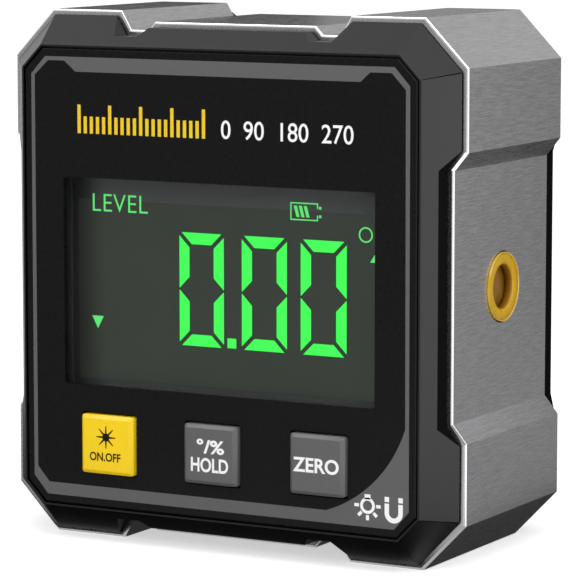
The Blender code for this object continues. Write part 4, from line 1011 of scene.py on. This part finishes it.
def lathed(name, profile, centre, material, body, steps=72):
    """A solid of revolution along X from a closed profile of (x, radius) in metres."""
    builder = bmesh.new()
    rings = []
    for i in range(steps):
        turn = 2 * math.pi * i / steps
        rings.append([builder.verts.new((x, centre[0] + radius * math.cos(turn),
                                         centre[1] + radius * math.sin(turn)))
                      for x, radius in profile])
    for here, after in zip(rings, rings[1:] + rings[:1]):
        for i in range(len(profile)):
            j = (i + 1) % len(profile)
            builder.faces.new((here[i], here[j], after[j], after[i]))
    bmesh.ops.recalc_face_normals(builder, faces=builder.faces)
    mesh = bpy.data.meshes.new(name)
    builder.to_mesh(mesh)
    builder.free()
    mesh.shade_smooth()
    mesh.set_sharp_from_angle(angle=SHARP)
    return new_piece(name, mesh, material, body)


def outlet_lip(material):
    """The thin raised lip round the outlet's face, which covers the gap to the hole."""
    face, radius = OUTLET_HIGH.x, (OUTLET_HIGH.z - OUTLET_LOW.z) / 2
    wall = face - OUTLET_PROUD * MM
    outer = radius + LIP_LAP * MM
    crown = outer - LIP_DRAFT * MM
    inner = radius - LIP_SLOPE * MM
    profile = [(wall, radius - LIP_ROOT * MM), (wall, outer), (face + LIP_HEIGHT * MM, crown),
               (face + LIP_HEIGHT * MM, crown - LIP_CREST * MM), (face + LIP_FOOT * MM, inner),
               (face - LIP_SUNK * MM, inner)]
    lathed("outlet_lip", profile, OUTLET_MIDDLE.yz, material, "gauge_body")


def key_front(name):
    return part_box(name)[0].y


def power_legend(ink_dark):
    """A starburst over ON and OFF."""
    front = key_front("key_power")
    point, depth = on_face(BURST_CENTRE, front)
    last_angle = 2 * math.pi * (BURST_RAYS - 1) / BURST_RAYS
    start = BURST_CORE * BURST_ROOT
    rays = grown("power_rays", ray_tree(), [point], {
        "Count": BURST_RAYS, "First Angle": 0.0, "Last Angle": last_angle,
        "Inner Radius": start * MM, "Length": (BURST_REACH - start) * MM,
        "Root Width": BURST_ROOT_WIDTH * MM, "Tip Width": BURST_TIP_WIDTH * MM, "Depth": depth},
        ink_dark)
    new_piece("power_rays", rays, ink_dark, "power_key")
    mark("power_core", [disc(BURST_CENTRE, BURST_CORE, 24)], ink_dark, front, "power_key")
    wording("power_words", "ON.OFF", POWER_BOX, ink_dark, front, "power_key",
            weight=POWER_WEIGHT)


# Operators
class GAUGE_OT_case(bpy.types.Operator):
    """Finishes the aluminium ring, the two shells, the battery door, the magnets and the screws"""
    bl_idname = "gauge.case"
    bl_label = "Finish Case"

    def execute(self, context):
        ring, = rounded(brushed_aluminium(), "side_frame", other=bright_cut_aluminium(),
                        where=cut_edge, smooth=False)
        ease_cut_edges(ring.data)
        shell = black_abs()
        # The shells' outer side walls get painted shade: a darker black with almost no reflection.
        rounded(shell, "front_bezel", "rear_cover", edge=look().case.shell_edge,
                other=black_abs_painted_shade(), where=shaded_outer_wall, smooth=False)
        give(shell, "battery_door")
        rounded(nickel_plate(), *[f"base_magnet_{i}" for i in range(1, 5)])
        rounded(blackened_steel(), *[f"case_screw_{i}" for i in range(1, 5)])
        return {"FINISHED"}


class GAUGE_OT_panel(bpy.types.Operator):
    """Prints the trim, the graduated scale, the numbers and the signs on the front panel"""
    bl_idname = "gauge.panel"
    bl_label = "Print Panel"

    def execute(self, context):
        settings = look().panel
        give(hard_coated_acrylic(), "front_panel")
        grey = ink("grey_ink", settings.trim, Specular_IOR_Level=0.2)
        yellow = ink("yellow_ink", settings.scale_ink, Specular_IOR_Level=0.3)
        white = ink("white_ink", settings.white_ink, Specular_IOR_Level=0.3)
        print_trim(grey)
        print_header(settings, yellow, white)
        print_signs(white)
        return {"FINISHED"}


class GAUGE_OT_display(bpy.types.Operator):
    """Finishes the pane, the display glass and what carries it, and lights the display's marks"""
    bl_idname = "gauge.display"
    bl_label = "Light Display"

    def execute(self, context):
        settings = look().display
        give(clear_acrylic(), "display_pane")
        give(closed_foam(), "display_gasket")
        give(bare_glass(), "display_glass")
        give(milky_acrylic(), "light_guide")
        give(white_abs(), "display_holder")
        give(striped_silicone(), "contact_strip")
        lit = lit_film("lit_film", settings.lit, settings.glow)
        small = lit_film("lit_fine_film", settings.lit_small, settings.glow)
        outline = ink("numeral_band_film", settings.outline)
        mark("display_ground", [box_loop(*GROUND_BOX)], polarizer(), GLASS_FRONT,
             proud=FILM)
        light_numerals(settings, lit, outline)
        light_signs(small)
        return {"FINISHED"}


class GAUGE_OT_keys(bpy.types.Operator):
    """Finishes the three key caps with their legends, the plungers and the switches"""
    bl_idname = "gauge.keys"
    bl_label = "Finish Keys"

    def execute(self, context):
        settings = look().keys
        rounded(key_plastic("yellow_abs", settings.yellow), "key_power", edge=settings.edge)
        rounded(key_plastic("grey_abs", settings.grey), "key_hold", "key_zero", edge=settings.edge)
        rounded(black_nylon(), "plunger_power", "plunger_hold", "plunger_zero")
        give(nickel_plate(), "switch_power", "switch_hold", "switch_zero")
        power_legend(ink("dark_key_ink", settings.dark_ink, Specular_IOR_Level=0.15))
        white = ink("white_key_ink", settings.white_ink)
        for name, words, box_mm, key in (("hold_upper_words", "°/%", HOLD_UPPER_BOX, "hold"),
                                         ("hold_words", "HOLD", HOLD_BOX, "hold"),
                                         ("zero_words", "ZERO", ZERO_BOX, "zero")):
            wording(name, words, box_mm, white, key_front("key_" + key), key + "_key",
                    weight=KEY_WEIGHT)
        return {"FINISHED"}


class GAUGE_OT_laser(bpy.types.Operator):
    """Finishes the outlet ring, its lens and the laser behind it"""
    bl_idname = "gauge.laser"
    bl_label = "Finish Laser"

    def execute(self, context):
        amber = outlet_plastic()
        # The bore's wall gets painted shade: a darker brown than the ring.
        rounded(amber, "outlet_ring", other=amber_bore_painted_shade(), where=inside_bore)
        outlet_lip(polished_amber_abs())
        rounded(amber_lens(), "outlet_lens")
        rounded(turned_brass(), "laser_barrel")
        give(black_nylon(), "laser_cradle")
        give(solder_mask(), "laser_driver")
        rounded(insulation("laser_lead_pvc", look().inside.red), "laser_lead")
        return {"FINISHED"}


class GAUGE_OT_board(bpy.types.Operator):
    """Finishes the circuit board and adds the pins and small parts on its back"""
    bl_idname = "gauge.board"
    bl_label = "Populate Board"

    def execute(self, context):
        give(solder_mask(), "main_board")
        give(moulded_epoxy(), "controller_chip", "tilt_sensor")
        give(nickel_plate(), "clock_crystal")
        rounded(moulded_epoxy(), "buzzer")
        tin = nickel_plate()
        tin.name = "tinned_pins"
        chip_pins(tin)
        small_parts(tin)
        return {"FINISHED"}


# Board parts
SOLDER = 0.02 * MM               # gap between the board or chip and what stands on or beside it
PIN_LENGTH, PIN_WIDTH, PIN_HEIGHT = 0.9 * MM, 0.25 * MM, 0.22 * MM
PIN_PITCH, PIN_COUNT = 0.65 * MM, 11     # along each side of the chip
PART_LENGTH, PART_HEIGHT, PART_WIDTH = 1.0 * MM, 0.45 * MM, 0.5 * MM
PART_CAP = 0.26 * MM             # length of a part's tinned end
PART_START, PART_PITCH = (7.5, -9.5), (2.6, 1.9)     # in millimetres, to the right and down
PART_COLUMNS, PART_ROWS = 4, 6
PARTS_KEPT, PARTS_SEED = 0.8, 3  # share of the places that hold a part, and the draw


def chip_pins(tin):
    """Rows of tinned pins on all four sides of the controller."""
    low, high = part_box("controller_chip")
    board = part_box("main_board")[1].y
    middle = (low + high) / 2
    half = (high.x - low.x) / 2 + PIN_LENGTH / 2 + SOLDER
    points, turns = [], []
    for turn in range(4):
        angle_here = turn * math.pi / 2
        for i in range(PIN_COUNT):
            across = (i - (PIN_COUNT - 1) / 2) * PIN_PITCH
            x = middle.x + half * math.cos(angle_here) + across * math.sin(angle_here)
            z = middle.z - half * math.sin(angle_here) + across * math.cos(angle_here)
            points.append((x, board + SOLDER + PIN_HEIGHT / 2, z))
            turns.append(angle_here)
    mesh = grown("chip_pins", part_tree(), points, {
        "Length": PIN_LENGTH, "Height": PIN_HEIGHT, "Width": PIN_WIDTH, "Kept": 1.0, "Seed": 0},
        tin, {"turn": ("FLOAT", turns)})
    new_piece("chip_pins", mesh, tin, "gauge_body")


def small_parts(tin):
    """Resistors and capacitors in rows beside the controller, with their tinned ends."""
    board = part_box("main_board")[1].y
    ceramic = surface("ceramic_body", linear_rgb("2A2320"), 0.5, cube(0.2), 0.002 * MM, tint=0.3)
    rows = []
    for column in range(PART_COLUMNS):
        for row in range(PART_ROWS):
            turn = math.pi / 2 if (row + column) % 3 == 0 else 0.0
            rows.append((MIDDLE.x + (PART_START[0] + column * PART_PITCH[0]) * MM,
                         MIDDLE.z + (PART_START[1] - row * PART_PITCH[1]) * MM, turn))
    lift = board + SOLDER + PART_HEIGHT / 2
    turns = {"turn": ("FLOAT", [turn for _, _, turn in rows])}
    for name, side, along, material, slot_name in (
            ("small_parts", 0, PART_LENGTH, ceramic, "black_epoxy"),
            ("part_ends_near", -1, PART_CAP, tin, "circuit_board"),
            ("part_ends_far", 1, PART_CAP, tin, "circuit_board")):
        reach = side * (PART_LENGTH + PART_CAP) / 2
        points = [(x + reach * math.cos(turn), lift, z - reach * math.sin(turn))
                  for x, z, turn in rows]
        mesh = grown(name, part_tree(), points, {
            "Length": along, "Height": PART_HEIGHT, "Width": PART_WIDTH, "Kept": PARTS_KEPT,
            "Seed": PARTS_SEED}, material, turns)
        new_piece(name, mesh, material, "gauge_body")


class GAUGE_OT_cells(bpy.types.Operator):
    """Finishes the two cells, their springs, contact plates and leads"""
    bl_idname = "gauge.cells"
    bl_label = "Fit Cells"

    def execute(self, context):
        settings = look().inside
        sleeve = cell_sleeve()
        nickel = nickel_plate()
        rounded(sleeve, "battery_upper", "battery_lower")
        rounded(nickel, "spring_upper", "spring_lower")
        give(nickel, "contact_bridge", "contact_negative", "contact_positive")
        rounded(insulation("red_pvc", settings.red), "lead_positive")
        rounded(insulation("black_pvc", settings.black), "lead_negative")
        return {"FINISHED"}


# Stage
CAMERA_AIM = (6.84, 0.0, -0.03)  # from the ring front's middle, in millimetres
SENSOR_WIDTH = 36
FLOOR_RADIUS = 6.0
FLOOR_DROP = 0.05 * MM           # keeps the floor clear of the gauge's pads
FLOOR_CARDS = -0.02              # height of the cards that lie on the floor, in millimetres
HUNG_CARDS = 230                 # height of the cards above the gauge
WORLD_FILL = 0.55                # how bright the white surroundings are as a lamp
FLOOR_LIFT = 0.55                # what the floor adds to its own light where it is seen


def towards(bearing, height_angle=0.0):
    """The direction of a bearing from the front and a height angle, in radians."""
    return Vector((math.sin(bearing) * math.cos(height_angle),
                   -math.cos(bearing) * math.cos(height_angle), math.sin(height_angle)))


def look_from(name, data, direction, distance, target):
    """Links a lamp or a camera in a direction from its target and turns it to look back."""
    made = bpy.data.objects.new(name, data)
    made.location = target + direction * distance
    made.rotation_euler = direction.to_track_quat("Z", "Y").to_euler()
    bpy.context.scene.collection.objects.link(made)
    return made


def softbox(name, bearing, height_angle, distance, size, radiance):
    """A rectangular area lamp that looks at the gauge, from angles in degrees."""
    data = bpy.data.lights.new(name, "AREA")
    data.shape = "RECTANGLE"
    data.size, data.size_y = size[0] * MM, size[1] * MM
    data.energy = radiance * math.pi * data.size * data.size_y * look().stage.lamp
    look_from(name, data, towards(math.radians(bearing), math.radians(height_angle)), distance * MM,
              Vector((0, 0, MIDDLE.z)))


def card(name, corners, shade):
    """A studio card that only glossy rays see: it sets what the metal and the gloss reflect."""
    mesh = bpy.data.meshes.new(name)
    mesh.from_pydata(corners, [], [tuple(range(len(corners)))])
    made = bpy.data.materials.new(name)
    made.use_nodes = True
    tree = made.node_tree
    tree.nodes.clear()
    glow = add_node(tree, "ShaderNodeEmission",
                    {"Color": (shade, shade, shade, 1), "Strength": 1.0})
    add_node(tree, "ShaderNodeOutputMaterial", {"Surface": glow})
    mesh.materials.append(made)
    piece = bpy.data.objects.new(name, mesh)
    bpy.context.scene.collection.objects.link(piece)
    for ray in ("camera", "diffuse", "transmission", "shadow"):
        setattr(piece, "visible_" + ray, False)


def upright(bearing, distance, width, low, high):
    """Corners of an upright card across a bearing from the gauge, between two heights."""
    direction = towards(math.radians(bearing))
    across = Vector((-direction.y, direction.x, 0)) * width * MM / 2
    foot = direction * distance * MM + Vector((0, 0, low * MM))
    top = Vector((0, 0, (high - low) * MM))
    return [foot - across, foot + across, foot + across + top, foot - across + top]


def lying(outline, height=FLOOR_CARDS):
    """Corners of a level card from their X and Y in millimetres."""
    return [(x * MM, y * MM, height * MM) for x, y in outline]


# Name, bearing, height angle, distance, size and radiance
SOFTBOXES = (("key_softbox", 50, 54, 420, (380, 380), 1.6),
             ("front_softbox", 15, 40, 520, (420, 360), 1.4))

# Name, corners and brightness
CARDS = (
    ("edge_card", upright(56, 95, 36, 0, 90), 1.7),
    ("slope_card", upright(80, 100, 50, 0, 90), 3.0),
    ("side_card", upright(147.6, 188, 90, 0, 78), 0.295),
    ("high_card", upright(168, 192, 240, 78, 300), 0.6),
    ("back_card", upright(176, 150, 104, 0, 78), 0.03),
    ("rear_card", upright(211, 150, 120, 0, 170), 0.25),
    ("left_card", upright(221, 130, 66, 0, 120), 0.0),
    ("left_edge_card", upright(252, 130, 72, 0, 120), 1.3),
    # under_card is painted shade: in reflections it stands for the floor's shadow under the bezel.
    ("under_card", lying([(-90, -22), (42, -22), (42, -13.8), (31, -13.8), (20, -12.15),
                          (-90, -12.15)]), 0.0),
    ("slope_floor_card", lying([(46, -60), (120, -90), (120, 0), (46, -11.5)]), 2.0),
    ("edge_strip_card", lying([(-60, -12.1), (20, -12.1), (31, -13.7), (42, -13.7), (34, -11.4),
                               (-60, -11.4)]), 0.6),
    # dark_floor_card is painted shade: in reflections it stands for the floor's shadow under and
    # behind the gauge.
    ("dark_floor_card", lying([(-110, -11.3), (34, -11.3), (39, 15), (48, 150), (48, 300),
                               (-110, 300)]), 0.045),
    ("side_floor_card", lying([(34, -11), (150, -11), (190, 175), (50, 175), (39, 15)]), 0.34),
    ("top_edge_card", lying(box_loop(-180, 20, -42, -5), HUNG_CARDS), 0.3),
    ("key_card", lying(box_loop(-220, -50, -130, -44), HUNG_CARDS), 5.0),
    ("top_slope_card", lying(box_loop(-180, 20, 0, 70), HUNG_CARDS), 1.3),
    ("strip_floor_card", lying([(44, -22.5), (44, -130), (-30, -130), (-30, -22.5)]), 0.75),
    ("front_floor_card", lying([(-30.5, -22.5), (-30.5, -130.5), (60, -130.5), (60, -500),
                                (-500, -500), (-120, -22.5)]), 0.45),
    ("front_card", upright(-29, 500, 560, 0, 150), 0.45),
    ("front_high_card", upright(32, 330, 460, 60, 270), 0.3),
)


def seen_directly(tree):
    """One for what is seen, in a mirror or through glass too, and nought for plain light."""
    path = add_node(tree, "ShaderNodeLightPath")
    direct = add_node(tree, "ShaderNodeMath", {
        0: path.outputs["Is Camera Ray"], 1: path.outputs["Is Glossy Ray"]}, operation="MAXIMUM")
    return add_node(tree, "ShaderNodeMath", {
        0: direct, 1: path.outputs["Is Transmission Ray"]},
        operation="MAXIMUM").outputs["Value"]


class GAUGE_OT_stage(bpy.types.Operator):
    """Sets the pale floor, the white background, the soft lamps and the camera"""
    bl_idname = "gauge.stage"
    bl_label = "Set Stage"

    def execute(self, context):
        settings = look().stage
        scene = context.scene
        scene.view_settings.view_transform = "Standard"
        self.lay_floor(settings)
        self.light_world(scene)
        for lamp in SOFTBOXES:
            softbox(*lamp)
        for piece in CARDS:
            card(*piece)
        self.place_camera(scene, settings)
        return {"FINISHED"}

    def lay_floor(self, settings):
        mesh = bpy.data.meshes.new("floor")
        builder = bmesh.new()
        bmesh.ops.create_circle(builder, cap_ends=True, segments=64, radius=FLOOR_RADIUS)
        builder.to_mesh(mesh)
        builder.free()
        made = surface("matt_floor", settings.floor, 0.9, cube(30), tint=0.01, spread=0.02,
                       Specular_IOR_Level=0.1)
        tree = made.node_tree
        shader = tree.nodes["Principled BSDF"]
        lift = add_node(tree, "ShaderNodeMath", {0: seen_directly(tree), 1: FLOOR_LIFT},
                        operation="MULTIPLY")
        tree.links.new(lift.outputs["Value"], shader.inputs["Emission Strength"])
        shader.inputs["Emission Color"].default_value = (1, 1, 1, 1)
        mesh.materials.append(made)
        floor = bpy.data.objects.new("floor", mesh)
        bpy.context.scene.collection.objects.link(floor)
        floor.location.z = -FLOOR_DROP

    def light_world(self, scene):
        """White to the camera, to mirrors and through glass, and a softer grey as a lamp."""
        world = bpy.data.worlds.new("studio")
        scene.world = world
        world.use_nodes = True
        tree = world.node_tree
        tree.nodes.clear()
        strength = add_node(tree, "ShaderNodeMapRange", {
            "Value": seen_directly(tree), "To Min": WORLD_FILL, "To Max": 1.0})
        ground = add_node(tree, "ShaderNodeBackground", {
            "Color": (1, 1, 1, 1), "Strength": strength})
        add_node(tree, "ShaderNodeOutputWorld", {"Surface": ground})

    def place_camera(self, scene, settings):
        """The photograph's viewing angle, on a long lens."""
        data = bpy.data.cameras.new("camera")
        data.lens = settings.lens
        data.sensor_width = SENSOR_WIDTH
        data.clip_start, data.clip_end = 0.01, 20
        direction = towards(settings.azimuth, settings.elevation)
        scene.camera = look_from("camera", data, direction, settings.distance,
                                 MIDDLE + Vector(CAMERA_AIM) * MM)


class GAUGE_PT_sidebar(bpy.types.Panel):
    """Buttons and settings of the gauge"""
    bl_label = "Angle Gauge"
    bl_idname = "GAUGE_PT_sidebar"
    bl_space_type = "VIEW_3D"
    bl_region_type = "UI"
    bl_category = "Gauge"

    def draw(self, context):
        settings = context.scene.gauge_look
        for operator, group in STEPS:
            box = self.layout.box()
            box.operator(operator.bl_idname)
            if group:
                part = getattr(settings, group)
                for name in part.bl_rna.properties.keys():
                    if name not in ("rna_type", "name"):
                        box.prop(part, name)


STEPS = ((GAUGE_OT_stage, "stage"), (GAUGE_OT_case, "case"), (GAUGE_OT_panel, "panel"),
         (GAUGE_OT_display, "display"), (GAUGE_OT_keys, "keys"), (GAUGE_OT_laser, "laser"),
         (GAUGE_OT_board, None), (GAUGE_OT_cells, "inside"))
CLASSES = (CaseLook, PanelLook, DisplayLook, KeyLook, LaserLook, InsideLook, StageLook, GaugeLook,
           GAUGE_OT_stage, GAUGE_OT_case, GAUGE_OT_panel, GAUGE_OT_display, GAUGE_OT_keys,
           GAUGE_OT_laser, GAUGE_OT_board, GAUGE_OT_cells, GAUGE_PT_sidebar)


def register():
    for item in CLASSES:
        bpy.utils.register_class(item)
    bpy.types.Scene.gauge_look = PointerProperty(type=GaugeLook)


def unregister():
    del bpy.types.Scene.gauge_look
    for item in reversed(CLASSES):
        bpy.utils.unregister_class(item)


def main():
    """Runs every step."""
    register()
    bpy.ops.gauge.stage()
    bpy.ops.gauge.case()
    bpy.ops.gauge.panel()
    bpy.ops.gauge.display()
    bpy.ops.gauge.keys()
    bpy.ops.gauge.laser()
    bpy.ops.gauge.board()
    bpy.ops.gauge.cells()


if __name__ == "__main__":
    main()
